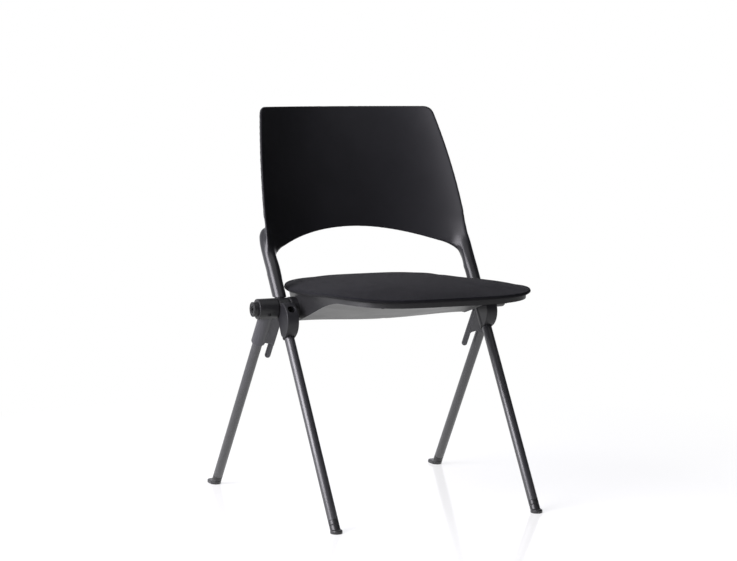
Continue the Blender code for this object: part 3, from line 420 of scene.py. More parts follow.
def plywood(name, dark, light):
    made, tree, shader = finish(name, 0.68)
    place = put(tree, "TexCoord").outputs["Object"]
    stretched = put(tree, "Mapping", {"Vector": place, "Scale": (9.0, 1.0, 60.0)}).outputs[0]
    rings = put(tree, "TexNoise", {"Vector": stretched, "Scale": 22.0, "Detail": 6.0, "Roughness": 0.62})
    tree.links.new(two_tone(tree, rings.outputs["Fac"], dark, light), shader.inputs["Base Color"])
    gloss = put(tree, "MapRange", {"Value": rings.outputs["Fac"], "To Min": 0.58, "To Max": 0.8})
    tree.links.new(gloss.outputs[0], shader.inputs["Roughness"])
    bump = put(tree, "Bump", {"Height": rings.outputs["Fac"], "Strength": 0.4, "Distance": 0.0001})
    tree.links.new(bump.outputs[0], shader.inputs["Normal"])
    return made


FINISH["seat_fabric"] = cloth("seat_fabric", (0.0050, 0.0049, 0.0065), (0.0118, 0.0115, 0.0152), 950.0, 0.04)
# A copy of the seat cloth that paints the shade on the pad's rim.
FINISH["rim_fabric_painted_shade"] = cloth("rim_fabric_painted_shade", (0.006, 0.006, 0.007), (0.012, 0.012, 0.013), 950.0, 0.03)
FINISH["zinc_steel"] = steel("zinc_steel", (0.50, 0.50, 0.52), 0.34, 800.0)
FINISH["black_steel"] = steel("black_steel", (0.030, 0.030, 0.032), 0.38, 700.0)
FINISH["seat_board"] = plywood("seat_board", (0.30, 0.19, 0.10), (0.55, 0.39, 0.23))
print("all finishes:", list(FINISH))


# %% [markdown]
# ## Handing a piece over
# A finished piece takes its finish, moves with one body of the CAD model, and stands for the CAD nodes
# that it hides. The frame body stands still and the seat body tips. Where the brackets and the pan meet
# round the hub lies deep shade, and it is painted: the faces that pass a test take the hubs' black finish
# as a second material. The tests follow the hub's own round surface, so the borders lie on edges of the
# shapes.


# %% Finish, body and slot of a piece
def hand_over(piece, finish_name, body, *nodes, slot=None, painted_shade=None):
    """Finish a piece, with a test for its faces of painted shade if it has any, and tie it to the CAD model.
    """
    piece.data.materials.clear()
    piece.data.materials.append(FINISH[finish_name])
    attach(piece, body)
    if nodes:
        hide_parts(*nodes)
    # Faces in the deep shade round the hub are painted black with the hubs' finish.
    if painted_shade:
        piece.data.materials.append(FINISH["hub_plastic_and_painted_shade"])
        for face in piece.data.polygons:
            if painted_shade(face.center):
                face.material_index = 1
    print(piece.name, len(piece.data.polygons), "faces, rides on", body)


def both_sides(piece, stem, finish_name, body="frame", slot=None, painted_shade=None):
    """The right-hand piece and its mirrored twin, each standing for its own CAD node."""
    twin = mirrored(piece, f"{stem}_left_skin")
    hand_over(piece, finish_name, body, f"{stem}_right", slot=slot, painted_shade=painted_shade)
    hand_over(twin, finish_name, body, f"{stem}_left", slot=slot, painted_shade=painted_shade)


def off_axis(point):
    """Distance from the hub axis."""
    return math.hypot(point.y - HUB_Y, point.z - HUB_Z)


# %% [markdown]
# ## Legs
# Each leg is a straight 20 mm steel tube with a 2 mm wall. A cylinder is placed along the leg's line, its
# end faces are inset by the wall and bridged to each other, which opens the bore, and the outer end edges
# get a small bevel. The front legs run up inside the back's columns, and the rear legs end in their
# sleeves.


# %% The four leg tubes
def end_edges(along, radius):
    """A test for the edges around a tube's ends, outside this radius."""

    def test(edge):
        if len(edge.link_faces) != 2 or edge.calc_face_angle() < 1.0:
            return False
        middle = (edge.verts[0].co + edge.verts[1].co) / 2
        return (middle - along[0]).cross(along[1]).length > radius

    return test


def leg_tube(name, start, end):
    tube = bar(name, start, end, LEG_DIAMETER)
    along = (end - start).normalized()
    edit(tube)
    pick("faces", lambda face: abs(face.normal.dot(along)) > 0.9)
    bpy.ops.mesh.inset(thickness=LEG_WALL)
    bpy.ops.mesh.bridge_edge_loops()
    pick("edges", end_edges((start, along), LEG_DIAMETER * 0.45))
    bpy.ops.mesh.bevel(offset=0.0005, segments=2, affect="EDGES")
    leave()
    face_out(tube)
    smooth(tube)
    return tube


COLUMN_FOOT = HUB_Z + HUB_RADIUS + FIT
LEG_IN_COLUMN = 0.0900
FOOT_HEIGHT = 0.0210
REAR_LEG_START = 0.0180

for pair in LEG_X:
    hub, floor, down = leg_line(pair)
    foot_top = hub + down * ((hub - floor).length - FOOT_HEIGHT / -down.z - FIT)
    if pair == "front":
        leg_start = hub - down * ((COLUMN_FOOT - HUB_Z) / -down.z + LEG_IN_COLUMN)
    else:
        leg_start = hub + down * REAR_LEG_START
    both_sides(leg_tube(f"{pair}_leg_right_skin", leg_start, foot_top), f"{pair}_leg", "leg_paint")

# %% [markdown]
# ## Feet
# A foot is a moulded plug that pushes into the tube. Its collar is flush with the tube and has a groove
# round it, and its sole is a flat shoe: short and round in front, and a longer toe behind. The shoe starts
# as a filled circle, stretched to its toe and extruded up, the collar is joined on, and a fine remesh
# melts the two together as a mould does. A ring cutter makes the groove before that.

# %% A foot of each kind
SHOE_HEIGHT = 0.0075
SHOE_RADIUS = 0.0115
TOE = {"front": 0.0020, "rear": 0.0170}


def ring_cutter(name, centre, along, outer, inner, width):
    ring = bar(name, centre - along * width / 2, centre + along * width / 2, outer)
    cut(ring, bar(name + "_core", centre - along * width, centre + along * width, inner))
    return ring


def foot(pair):
    hub, floor, down = leg_line(pair)
    up = -down
    heading = math.copysign(1.0, down.y)
    bpy.ops.object.select_all(action="DESELECT")
    bpy.ops.mesh.primitive_circle_add(
        vertices=96, radius=SHOE_RADIUS, fill_type="NGON", location=(floor.x, floor.y, 0)
    )
    shoe = added(f"{pair}_foot_right_skin")
    edit(shoe)
    pick("verts", lambda vert: (vert.co.y - floor.y) * heading > 0)
    bpy.ops.transform.translate(value=(0, heading * TOE[pair], 0))
    bpy.ops.mesh.select_all(action="SELECT")
    bpy.ops.mesh.extrude_region_move(TRANSFORM_OT_translate={"value": (0, 0, SHOE_HEIGHT)})
    pick("edges", lambda edge: all(vert.co.z > SHOE_HEIGHT * 0.9 for vert in edge.verts))
    bpy.ops.mesh.bevel(offset=0.0030, segments=4, affect="EDGES")
    pick("edges", lambda edge: all(vert.co.z < SHOE_HEIGHT * 0.1 for vert in edge.verts))
    bpy.ops.mesh.bevel(offset=0.0008, segments=2, affect="EDGES")
    leave()
    face_out(shoe)
    top = floor + up * (FOOT_HEIGHT / up.z)
    collar = bar("collar", floor - up * LEG_DIAMETER, top, LEG_DIAMETER)
    groove = floor + up * (FOOT_HEIGHT * 0.62 / up.z)
    cut(collar, ring_cutter("groove", groove, up, 0.030, 0.0178, 0.0016))
    joined(shoe, collar, bar("plug", floor + up * 0.010, top + up * 0.016, 0.0154))
    bpy.ops.object.select_all(action="DESELECT")
    bpy.ops.mesh.primitive_cube_add(size=0.16, location=(floor.x, floor.y, -0.08))
    cut(shoe, added("floor_cut"))
    moulded(shoe, 0.0006, 3)
    return shoe


for pair in LEG_X:
    both_sides(foot(pair), f"{pair}_foot", "foot_plastic")

# %% [markdown]
# ## Front brackets
# Each front bracket clamps the through leg to the hub. Seen from the side it is a leaf: a long curved
# front, a short foot, and a curve back up to the hub. The leaf is drawn as a circle whose points are set
# on its two arcs, extruded across the bracket and bevelled, so that its cheeks keep the light edge lines.
# The hub and the leg's socket are joined on, and the bore, the bolt hole and the screw's round recess are
# cut out.

# %% The leaf and its bracket
BRACKET_INNER, BRACKET_OUTER = 0.2090, 0.2336
LEAF_SETBACK = 0.0015
SOCKET_LENGTH = 0.0660
SCREW_DROP, SCREW_REACH = 0.0240, 0.0270
LEG_BORE = LEG_DIAMETER + 2 * FIT
BOLT_BORE = 0.0106


def arc_through(first, middle, last, count):
    """Points along the circle through three points, from the first to the last."""
    (ax, ay), (bx, by), (cx, cy) = first, middle, last
    twice = 2 * (ax * (by - cy) + bx * (cy - ay) + cx * (ay - by))
    a2, b2, c2 = ax * ax + ay * ay, bx * bx + by * by, cx * cx + cy * cy
    x = (a2 * (by - cy) + b2 * (cy - ay) + c2 * (ay - by)) / twice
    y = (a2 * (cx - bx) + b2 * (ax - cx) + c2 * (bx - ax)) / twice
    radius = math.hypot(ax - x, ay - y)
    start = math.atan2(ay - y, ax - x)
    turn = (math.atan2(cy - y, cx - x) - start) % (2 * math.pi)
    if (math.atan2(by - y, bx - x) - start) % (2 * math.pi) > turn:
        turn -= 2 * math.pi
    angles = [start + turn * i / (count - 1) for i in range(count)]
    return [(x + radius * math.cos(a), y + radius * math.sin(a)) for a in angles]


leaf = arc_through((-0.0269, 0.0135), (-0.0583, -0.0130), (-0.0350, -0.0565), 34)
leaf += arc_through((-0.0245, -0.0530), (-0.0128, -0.0230), (-0.0269, 0.0135), 26)[:-1]


def leaf_block(name, inner, outer, bevel):
    bpy.ops.object.select_all(action="DESELECT")
    bpy.ops.mesh.primitive_circle_add(vertices=len(leaf), fill_type="NGON")
    block = added(name)
    for vert, (ahead, rise) in zip(block.data.vertices, leaf):
        vert.co = (-inner, HUB_Y + ahead, HUB_Z + rise)
    edit(block)
    bpy.ops.mesh.select_all(action="SELECT")
    bpy.ops.mesh.extrude_region_move(TRANSFORM_OT_translate={"value": (inner - outer, 0, 0)})
    pick("edges", lambda edge: abs(edge.verts[0].co.x - edge.verts[1].co.x) < 0.0001)
    bpy.ops.mesh.bevel(offset=bevel, segments=3, affect="EDGES")
    leave()
    face_out(block)
    return block


hub, floor, down = leg_line("front")
forward = Vector((0, down.z, -down.y)).normalized()
screw_seat = hub + down * SCREW_DROP + forward * SCREW_REACH
bracket = leaf_block("front_bracket_right_skin", BRACKET_INNER, BRACKET_OUTER, 0.0016)
hub_inner = on_axis(-BRACKET_INNER - LEAF_SETBACK)
hub_outer = on_axis(LEAF_SETBACK - BRACKET_OUTER)
joined(
    bracket,
    bar("hub", hub_inner, hub_outer, 2 * HUB_RADIUS),
    bar("socket", hub + down * HUB_RADIUS * 1.1, hub + down * SOCKET_LENGTH, 0.0260),
)
cut(
    bracket,
    bar("leg_way", hub - down * 0.06, hub + down * (SOCKET_LENGTH + 0.02), LEG_BORE),
    bar("leg_mouth", hub + down * (SOCKET_LENGTH - 0.0035), hub + down * (SOCKET_LENGTH + 0.02), 0.0232),
    bar("bolt_way", on_axis(-0.19), on_axis(-0.26), BOLT_BORE),
    bar("screw_way", hub + down * SCREW_DROP, screw_seat + forward * 0.03, 0.0086),
    bar("recess", screw_seat, screw_seat + forward * 0.04, 0.0160),
)
moulded(bracket, 0.0007, 2)
# The hub's round middle is painted black as the shade where the pan meets the bracket.
both_sides(
    bracket,
    "front_bracket",
    "shaded_bracket_plastic",
    slot="bracket_plastic",
    painted_shade=lambda point: off_axis(point) < HUB_RADIUS + 0.0003 and abs(point.x) < BRACKET_OUTER - 0.0009,
)

# %% [markdown]
# ## Rear brackets
# The rear bracket sits on the same axis outside the front one. Its barrel carries the sleeve of the
# rear leg, and beside the sleeve a web runs inwards to a finger that catches the next chair when they
# nest. Bars and a flat web are joined, the leg's bore, the bolt hole and the set screw's hole are cut, and
# the remesh leaves the soft inner corners of a moulding. The web lies a little behind the sleeve's front,
# so that a groove shows between the two.

# %% Barrel, sleeve, web and finger
BARREL_INNER, BARREL_OUTER = 0.2339, 0.2755
SLEEVE_LENGTH, SLEEVE_DIAMETER = 0.0880, 0.0280
FINGER_DIAMETER, FINGER_LENGTH, FINGER_SPREAD = 0.0120, 0.1300, 0.0300
WEB_FRONT, WEB_REAR = 0.0085, 0.0060
WEB_START = 0.0160

hub, floor, down = leg_line("rear")
inward = Vector((-RIGHT, 0, 0))
inward = (inward - down * inward.dot(down)).normalized()
ahead = Vector((0, down.z, -down.y)).normalized()


def in_sleeve(across, depth, along):
    """A point by its place across the web, its depth ahead of the leg and its distance down the leg."""
    return hub + inward * across + ahead * depth + down * along


def rounded_bar(name, start, end, diameter, bevel):
    """A bar with its end edges rounded."""
    made = bar(name, start, end, diameter)
    along = (Vector(end) - Vector(start)).normalized()
    edit(made)
    pick("edges", end_edges((Vector(start), along), 0.0))
    bpy.ops.mesh.bevel(offset=bevel, segments=4, affect="EDGES")
    leave()
    return made


def web_plate(name):
    edge = FINGER_SPREAD + FINGER_DIAMETER * 0.3
    step = FINGER_SPREAD - FINGER_DIAMETER / 2
    corners = [(0, WEB_START), (edge, WEB_START), (edge, SLEEVE_LENGTH + 0.006), (step, SLEEVE_LENGTH)]
    corners.append((0, SLEEVE_LENGTH - 0.006))
    bpy.ops.object.select_all(action="DESELECT")
    bpy.ops.mesh.primitive_circle_add(vertices=len(corners), fill_type="NGON")
    plate = added(name)
    for vert, (across, along) in zip(plate.data.vertices, corners):
        vert.co = in_sleeve(across, -WEB_REAR, along)
    edit(plate)
    bpy.ops.mesh.select_all(action="SELECT")
    move = ahead * (WEB_FRONT + WEB_REAR)
    bpy.ops.mesh.extrude_region_move(TRANSFORM_OT_translate={"value": tuple(move)})
    pick("edges", lambda edge: edge.calc_face_angle(0) > 0.5)
    bpy.ops.mesh.bevel(offset=0.0018, segments=3, affect="EDGES")
    leave()
    face_out(plate)
    return plate


bracket = rounded_bar(
    "rear_bracket_right_skin", on_axis(-BARREL_INNER), on_axis(-BARREL_OUTER), 2 * HUB_RADIUS, 0.0014
)
finger_start = in_sleeve(FINGER_SPREAD, 0, WEB_START + FINGER_DIAMETER)
finger_end = in_sleeve(FINGER_SPREAD, 0, FINGER_LENGTH)
joined(
    bracket,
    rounded_bar("sleeve", hub, hub + down * SLEEVE_LENGTH, SLEEVE_DIAMETER, 0.0016),
    web_plate("web"),
    rounded_bar("finger", finger_start, finger_end, FINGER_DIAMETER, 0.0054),
)
SET_SCREW_DIP = math.radians(31)
set_screw_out = Vector((0, -math.cos(SET_SCREW_DIP), -math.sin(SET_SCREW_DIP)))
set_screw_middle = on_axis(-(BARREL_INNER + BARREL_OUTER) / 2)
cut(
    bracket,
    bar("leg_way", hub + down * (REAR_LEG_START - FIT), hub + down * (SLEEVE_LENGTH + 0.02), LEG_BORE),
    bar("bolt_way", on_axis(-0.22), on_axis(-0.29), BOLT_BORE),
    bar(
        "set_screw_way",
        set_screw_middle + set_screw_out * (HUB_RADIUS - 0.0073),
        set_screw_middle + set_screw_out * (HUB_RADIUS + 0.02),
        0.0062,
    ),
)
moulded(bracket, 0.0008, 2)
# The barrel's round faces are painted black as the shade round the hub.
shaded_barrel_reach = HUB_RADIUS + 0.0002
both_sides(bracket, "rear_bracket", "bracket_plastic", painted_shade=lambda point: off_axis(point) < shaded_barrel_reach)

# %% [markdown]
# ## Link bosses and screws
# At each hub end a round boss takes the part that links chairs into a row. It starts as a short bar whose
# outer face is inset and pushed in and out, which turns one flat end into rings and a deep recess. The
# screws are socket heads: a head and a shank joined, with a six-sided key cut into the head.

# %% Boss
BOSS_INNER, BOSS_OUTER = 0.2758, 0.2848
BOSS_RADIUS, BOSS_RECESS = 0.0145, 0.0072


def push(distance):
    """Move the picked end face out along the hub axis by a new wall."""
    bpy.ops.mesh.extrude_region_move(TRANSFORM_OT_translate={"value": (RIGHT * distance, 0, 0)})


def boss_edge(edge, turn):
    """True for an edge near the boss's outer end that turns by more than this angle."""
    return edge.calc_face_angle(0) > turn and all(vert.co.x < -BOSS_OUTER + 0.002 for vert in edge.verts)


def on_boss_rim(edge):
    return all(abs((vert.co - on_axis(vert.co.x)).length - BOSS_RADIUS) < 0.0006 for vert in edge.verts)


boss = bar("link_boss_right_skin", on_axis(-BOSS_INNER), on_axis(-BOSS_OUTER), 2 * BOSS_RADIUS)
edit(boss)
pick("faces", lambda face: face.normal.x < -0.9)
bpy.ops.mesh.inset(thickness=0.0026)
push(-0.0008)
bpy.ops.mesh.inset(thickness=0.0016)
push(0.0008)
bpy.ops.mesh.inset(thickness=0.00305)
push(-BOSS_RECESS)
pick("edges", lambda edge: boss_edge(edge, 1.0))
bpy.ops.mesh.bevel(offset=0.0004, segments=2, affect="EDGES")
pick("edges", lambda edge: boss_edge(edge, 0.3) and on_boss_rim(edge))
bpy.ops.mesh.bevel(offset=0.0009, segments=3, affect="EDGES")
leave()
cut(boss, bar("bolt_way", on_axis(-0.27), on_axis(-0.29), BOLT_BORE))
face_out(boss)
smooth(boss, 40)
both_sides(boss, "link_boss", "hub_plastic_and_painted_shade", slot="bracket_plastic")


# %% Screws
def socket_screw(name, seat, out, head, length, shank, tip, key):
    """A screw whose head rises from its seat along out, with a key of (width, depth)."""
    screw = bar(name, seat, seat + out * length, head, 48)
    edit(screw)
    pick("edges", lambda edge: edge.calc_face_angle(0) > 1.0)
    bpy.ops.mesh.bevel(offset=0.0005, segments=2, affect="EDGES")
    leave()
    if shank < head:
        joined(screw, bar("shank", seat - out * tip, seat + out * length * 0.5, shank, 32))
    cut(screw, bar("key", seat + out * (length - key[1]), seat + out * (length + 0.01), key[0], 6))
    face_out(screw)
    smooth(screw)
    return screw


set_seat = set_screw_middle + set_screw_out * (HUB_RADIUS + 0.001 - 0.008)
SCREWS = {
    "hub_bolt": (
        on_axis(-(BOSS_OUTER - BOSS_RECESS + FIT)),
        Vector((RIGHT, 0, 0)),
        {"head": 0.013, "length": 0.006, "shank": 0.010, "tip": 0.085, "key": (0.0075, 0.004)},
    ),
    "clamp_screw": (
        screw_seat + forward * FIT,
        forward,
        {"head": 0.013, "length": 0.008, "shank": 0.008, "tip": 0.019, "key": (0.0068, 0.004)},
    ),
    "hub_grub_screw": (
        set_seat,
        set_screw_out,
        {"head": 0.0056, "length": 0.008, "shank": 0.0056, "tip": 0, "key": (0.003, 0.0028)},
    ),
}
for stem, (seat, out_way, sizes) in SCREWS.items():
    both_sides(socket_screw(f"{stem}_right_skin", seat, out_way, **sizes), stem, "black_steel")

# %% [markdown]
# ## The back
# The back is one moulding: a thin panel, hollow across and leaning back, on two round columns that swallow
# the front legs. Below, an arch opens over the seat. It could be drawn as one cage under a Subdivision
# Surface, but then its outline would have to be guessed. Here the panel is a grid whose points are set by
# curves like the CAD's, given its thickness and rounded edges, and each column is a circle extruded
# upwards and set on its own sections. A Boolean joins them. In the curves, u runs from 0 at the panel's
# shoulder to 1 at its top.

# %% Curves of the panel
BACK_TOP, SHOULDER = 0.8000, 0.5200
BACK_HALF_WIDTH = 0.2261
BACK_THICKNESS = 0.0055
CORNER_RADIUS = 0.0130
ARCH_HEIGHT, ARCH_DROP, ARCH_HALF_WIDTH, ARCH_FOOT = 0.5500, 0.0320, 0.1750, 0.4860
COLUMN_RADIUS, COLUMN_TOP, COLUMN_ROUND = 0.01375, 0.5585, 0.0235
SHOULDER_FADE, SHOULDER_WIDER, SHOULDER_AHEAD = 0.18, 0.0011, 0.0024
NARROWING, NARROWING_CURVE = 0.0040, 0.0280
EDGE_BEHIND_HUB, EDGE_LEAN, EDGE_CURVE = 0.0577, 0.0915, 0.0250
HOLLOW, HOLLOW_LOSS, HOLLOW_POWER = 0.0885, 0.0205, 2.4


def clamped(value):
    return min(max(value, 0.0), 1.0)


def up_panel(z):
    return (z - SHOULDER) / (BACK_TOP - SHOULDER)


def near_shoulder(u):
    """1 at the shoulder, fading to 0 a little above it."""
    return clamped(1 - u / SHOULDER_FADE) ** 2


def back_half_width(z):
    u = up_panel(z)
    return BACK_HALF_WIDTH + SHOULDER_WIDER * near_shoulder(u) - NARROWING * u - NARROWING_CURVE * u * u


def back_front(x, z):
    """The panel's front face: its y at this place."""
    u = up_panel(z)
    edge = HUB_Y + EDGE_BEHIND_HUB - SHOULDER_AHEAD * near_shoulder(u) + EDGE_LEAN * u + EDGE_CURVE * u * u
    share = min(abs(x) / back_half_width(z), 1.0)
    return edge + (HOLLOW - HOLLOW_LOSS * u) * (1 - share**HOLLOW_POWER)


def arch_edge(x):
    """The lower edge: an arch, then a fillet down the inner side of each column."""
    x = abs(x)
    if x <= ARCH_HALF_WIDTH:
        return ARCH_HEIGHT - ARCH_DROP * (x / ARCH_HALF_WIDTH) ** 2
    inner = LEG_X["front"] - COLUMN_RADIUS
    share = min((x - ARCH_HALF_WIDTH) / (inner - ARCH_HALF_WIDTH), 1.0)
    start = ARCH_HEIGHT - ARCH_DROP
    return start - (start - ARCH_FOOT) * (1 - math.sqrt(max(1 - share**2, 0)) + 0.35 * share) / 1.35


def top_edge(share):
    """The top edge, with a rounded corner at each end."""
    inset = (1 - abs(share)) * back_half_width(BACK_TOP)
    away = max(CORNER_RADIUS - inset, 0.0)
    return BACK_TOP - CORNER_RADIUS + math.sqrt(max(CORNER_RADIUS**2 - away**2, 0))


print("arch from", ARCH_FOOT, "to", ARCH_HEIGHT, "top half width", round(back_half_width(BACK_TOP), 4))

# %% The panel as a thick sheet
bpy.ops.object.select_all(action="DESELECT")
bpy.ops.mesh.primitive_grid_add(x_subdivisions=160, y_subdivisions=60, size=2.0)
back = added("back_skin")
for vert in back.data.vertices:
    across, up = vert.co.x, (vert.co.y + 1) / 2
    share = across * (1.25 - 0.25 * across * across)
    low, high = arch_edge(share * BACK_HALF_WIDTH), top_edge(share)
    z = low + (high - low) * up
    x = share * back_half_width(z)
    vert.co = (x, back_front(x, z), z)
shaped(back, "SOLIDIFY", thickness=BACK_THICKNESS, offset=-1.0)
only(back)
bpy.ops.object.duplicate(linked=False)
panel_guide = bpy.context.object
shaped(back, "BEVEL", width=0.0022, segments=3, limit_method="ANGLE", angle_limit=math.radians(50))
print("panel", len(back.data.polygons), "faces")


# %% The columns
COLUMN_SUNK = 0.1
SWELL_START, SWELL_LENGTH, SWELL_INNER, SWELL_OUTER = 0.455, 0.025, 0.0022, 0.0006


def column_point(angle, z):
    """A point of the right column's level section: round below, then sinking into the panel."""
    hub, _, down = leg_line("front")
    centre = hub - down * ((z - HUB_Z) / -down.z)
    rise = clamped((z - ARCH_FOOT) / (COLUMN_TOP - ARCH_FOOT))
    ahead = 1 - (1 - COLUMN_SUNK) * rise * rise * (3 - 2 * rise)
    share = clamped((z - COLUMN_TOP + COLUMN_ROUND) / COLUMN_ROUND)
    behind = COLUMN_SUNK + (1 - COLUMN_SUNK) * math.sqrt(1 - share**2)
    swell = clamped((z - SWELL_START) / SWELL_LENGTH)
    inner = abs(centre.x) - COLUMN_RADIUS - SWELL_INNER * swell
    outer = abs(centre.x) + COLUMN_RADIUS + SWELL_OUTER * swell
    outer += (back_half_width(z) - BACK_THICKNESS * 0.2 - outer) * rise**4
    half = (outer - inner) / 2
    x = RIGHT * (inner + half) + half * math.cos(angle)
    y = centre.y + COLUMN_RADIUS / math.sqrt(1 - down.y**2) * math.sin(angle)
    panel = back_front(x, z) + BACK_THICKNESS * 0.6
    return x, panel + (y - panel) * (ahead if y < panel else behind), z


def column(name):
    steps = 36
    shares = [1 - (1 - i / steps) ** 1.7 for i in range(steps + 1)]
    heights = [COLUMN_FOOT + (COLUMN_TOP - COLUMN_FOOT) * share for share in shares]
    bpy.ops.object.select_all(action="DESELECT")
    bpy.ops.mesh.primitive_circle_add(
        vertices=64, radius=COLUMN_RADIUS, fill_type="NGON", location=(0, 0, COLUMN_FOOT)
    )
    made = added(name)
    edit(made)
    bpy.ops.mesh.select_all(action="SELECT")
    for low, high in zip(heights, heights[1:]):
        bpy.ops.mesh.extrude_region_move(TRANSFORM_OT_translate={"value": (0, 0, high - low)})
    leave()
    for vert in made.data.vertices:
        vert.co = column_point(math.atan2(vert.co.y, vert.co.x), vert.co.z)
    face_out(made)
    return made


right_column = column("right_column")
left_column = mirrored(right_column, "left_column")
joined(back, right_column, left_column)
print("joined back", len(back.data.polygons), "faces")

# %% [markdown]
# ### One flowing skin
# The Boolean leaves a hard crease where a column meets the panel, and the real moulding flows there. A
# remesh evens out the mesh, and three vertex groups then say where to smooth: along the crease, more
# widely on its inner front, and over the open panel. The panel's middle is laid back on the sheet that it
# came from, so the smoothing can't flatten its hollow. Last, the legs' bores are cut.

# %% Remesh, smooth and bore
BACK_VOXEL = 0.00214
only(back)
back.data.remesh_voxel_size = BACK_VOXEL
bpy.ops.object.voxel_remesh()


def weigh(piece, name, weight):
    """A vertex group whose weights come from a rule on each point."""
    group = piece.vertex_groups.new(name=name)
    for vert in piece.data.vertices:
        value = weight(vert.co)
        if value > 0.01:
            group.add([vert.index], value, "REPLACE")
    return group.name


def crease(point, reach=0.011):
    """Near 1 where the column's skin and the panel's skin meet."""
    hub, _, down = leg_line("front", math.copysign(1.0, point.x))
    beside = abs((point - hub).cross(down).length - COLUMN_RADIUS)
    z = min(max(point.z, ARCH_FOOT), BACK_TOP)
    front = back_front(point.x, z)
    across = min(abs(point.y - front), abs(point.y - front - BACK_THICKNESS))
    inside = 1.0 if ARCH_FOOT - 0.02 < point.z < COLUMN_TOP + 0.02 else 0.0
    return inside * math.exp(-((max(beside, across) / reach) ** 2))


def front_flow(point):
    """The same but wider, on the inner side of the front, where the panel flows into the column."""
    z = min(max(point.z, ARCH_FOOT), BACK_TOP)
    inward = clamped((LEG_X["front"] - 0.002 - abs(point.x)) / 0.010)
    ahead = 1.0 if point.y < back_front(point.x, z) + BACK_THICKNESS / 2 else 0.0
    return ahead * inward * crease(point, 0.020)


def open_panel(point):
    """1 on the open panel, fading out towards its edges and the columns."""
    z = min(max(point.z, ARCH_FOOT), BACK_TOP)
    edge = min(BACK_TOP - point.z, back_half_width(z) - abs(point.x), point.z - arch_edge(point.x))
    if point.z < COLUMN_TOP + 0.035:
        edge = min(edge, LEG_X["front"] - COLUMN_RADIUS - 0.028 - abs(point.x))
    return clamped((edge - 0.005) / 0.006)


for rule in (crease, front_flow, open_panel):
    weigh(back, rule.__name__, rule)
for passes, area in ((4, ""), (52, "crease"), (140, "front_flow"), (26, "open_panel")):
    shaped(back, "SMOOTH", factor=0.5, iterations=passes, vertex_group=area)
shaped(back, "SHRINKWRAP", target=panel_guide, wrap_method="NEAREST_SURFACEPOINT", vertex_group="open_panel")
shaped(back, "SMOOTH", factor=0.5, iterations=5, vertex_group="open_panel")
bpy.data.objects.remove(panel_guide, do_unlink=True)
for side in (RIGHT, -RIGHT):
    hub, _, down = leg_line("front", side)
    reach = (COLUMN_FOOT - HUB_Z) / -down.z + LEG_IN_COLUMN + FIT
    cut(back, bar("column_bore", hub, hub - down * reach, LEG_BORE))
back.vertex_groups.clear()
smooth(back, 60)
hand_over(back, "back_plastic", "frame", "backrest_shell")

# %% [markdown]
# ## The seat pan
# Under the pad is a moulded pan: a low band all round, and a belly that is deep and square-sided at the
# hub axis, where it hides the beam, and shallow in front. A circle is extruded ring by ring and each ring
# is set on the seat's outline, then Solidify gives the wall. The pivot bosses and the screw posts are
# joined on, and their holes are cut.

# %% Curves of the seat
SEAT_MIDDLE = HUB_Y - 0.0900
SEAT_REACH = {"front": 0.2390, "rear": 0.2340}
SEAT_POWER = {"front": 4.02, "rear": 3.43}
WAIST_HALF, FLARE, FLARE_START, FLARE_LENGTH = 0.2064, 0.0050, 0.0700, 0.0600
SEAT_EDGE = 0.4502
SEAT_SLOPE, ROLL_START, FRONT_ROLL = 0.0200, -0.1459, 0.0123
SIDE_DROOP, DROOP_LENGTH = 0.0115, 0.2000
PAD_RIM, PAD_CROWN, PAD_TUCK = 0.0070, 0.0082, 0.0040
PAD_BOTTOM = SEAT_EDGE - PAD_RIM
PAN_TOP = PAD_BOTTOM - FIT
PAN_INSET, PAN_BAND, PAN_WALL = 0.0080, 0.0095, 0.0030
PAN_FRONT = SEAT_MIDDLE - SEAT_REACH["front"] + PAN_INSET
PAN_REAR = SEAT_MIDDLE + SEAT_REACH["rear"] - PAN_INSET
CHEEK_START, CHEEK_DEPTH, BELLY_DEPTH = -0.2150, 0.0500, 0.0625
CHEEK_FOOT = 0.96


def seat_half_width(y):
    share = clamped((HUB_Y - FLARE_START - y) / FLARE_LENGTH)
    return WAIST_HALF + FLARE * share * share * (3 - 2 * share)


def seat_point(angle, inset):
    """A point of the seat's plan outline, drawn in by an inset."""
    cos, sin = math.cos(angle), math.sin(angle)
    end = "rear" if sin > 0 else "front"
    power = 2 / SEAT_POWER[end]
    y = SEAT_MIDDLE + math.copysign(abs(sin) ** power, sin) * (SEAT_REACH[end] - inset)
    return math.copysign(abs(cos) ** power, cos) * (seat_half_width(y) - inset), y


def sag(x, y):
    """How far the seat lies below its level: it slopes back, its front rolls down and its sides droop."""
    front = SEAT_MIDDLE - SEAT_REACH["front"]
    roll = clamped((ROLL_START - y) / (ROLL_START - front))
    droop = (abs(x) / WAIST_HALF) ** 4 * math.exp(-(((y - HUB_Y) / DROOP_LENGTH) ** 2))
    return SEAT_SLOPE * (y - HUB_Y) + FRONT_ROLL * roll**2 + SIDE_DROOP * min(droop, 1.0)


def pan_half_width(y):
    end = "front" if y < SEAT_MIDDLE else "rear"
    share = min(abs(y - SEAT_MIDDLE) / (SEAT_REACH[end] - PAN_INSET), 1.0)
    return (seat_half_width(y) - PAN_INSET) * (1 - share ** SEAT_POWER[end]) ** (1 / SEAT_POWER[end])


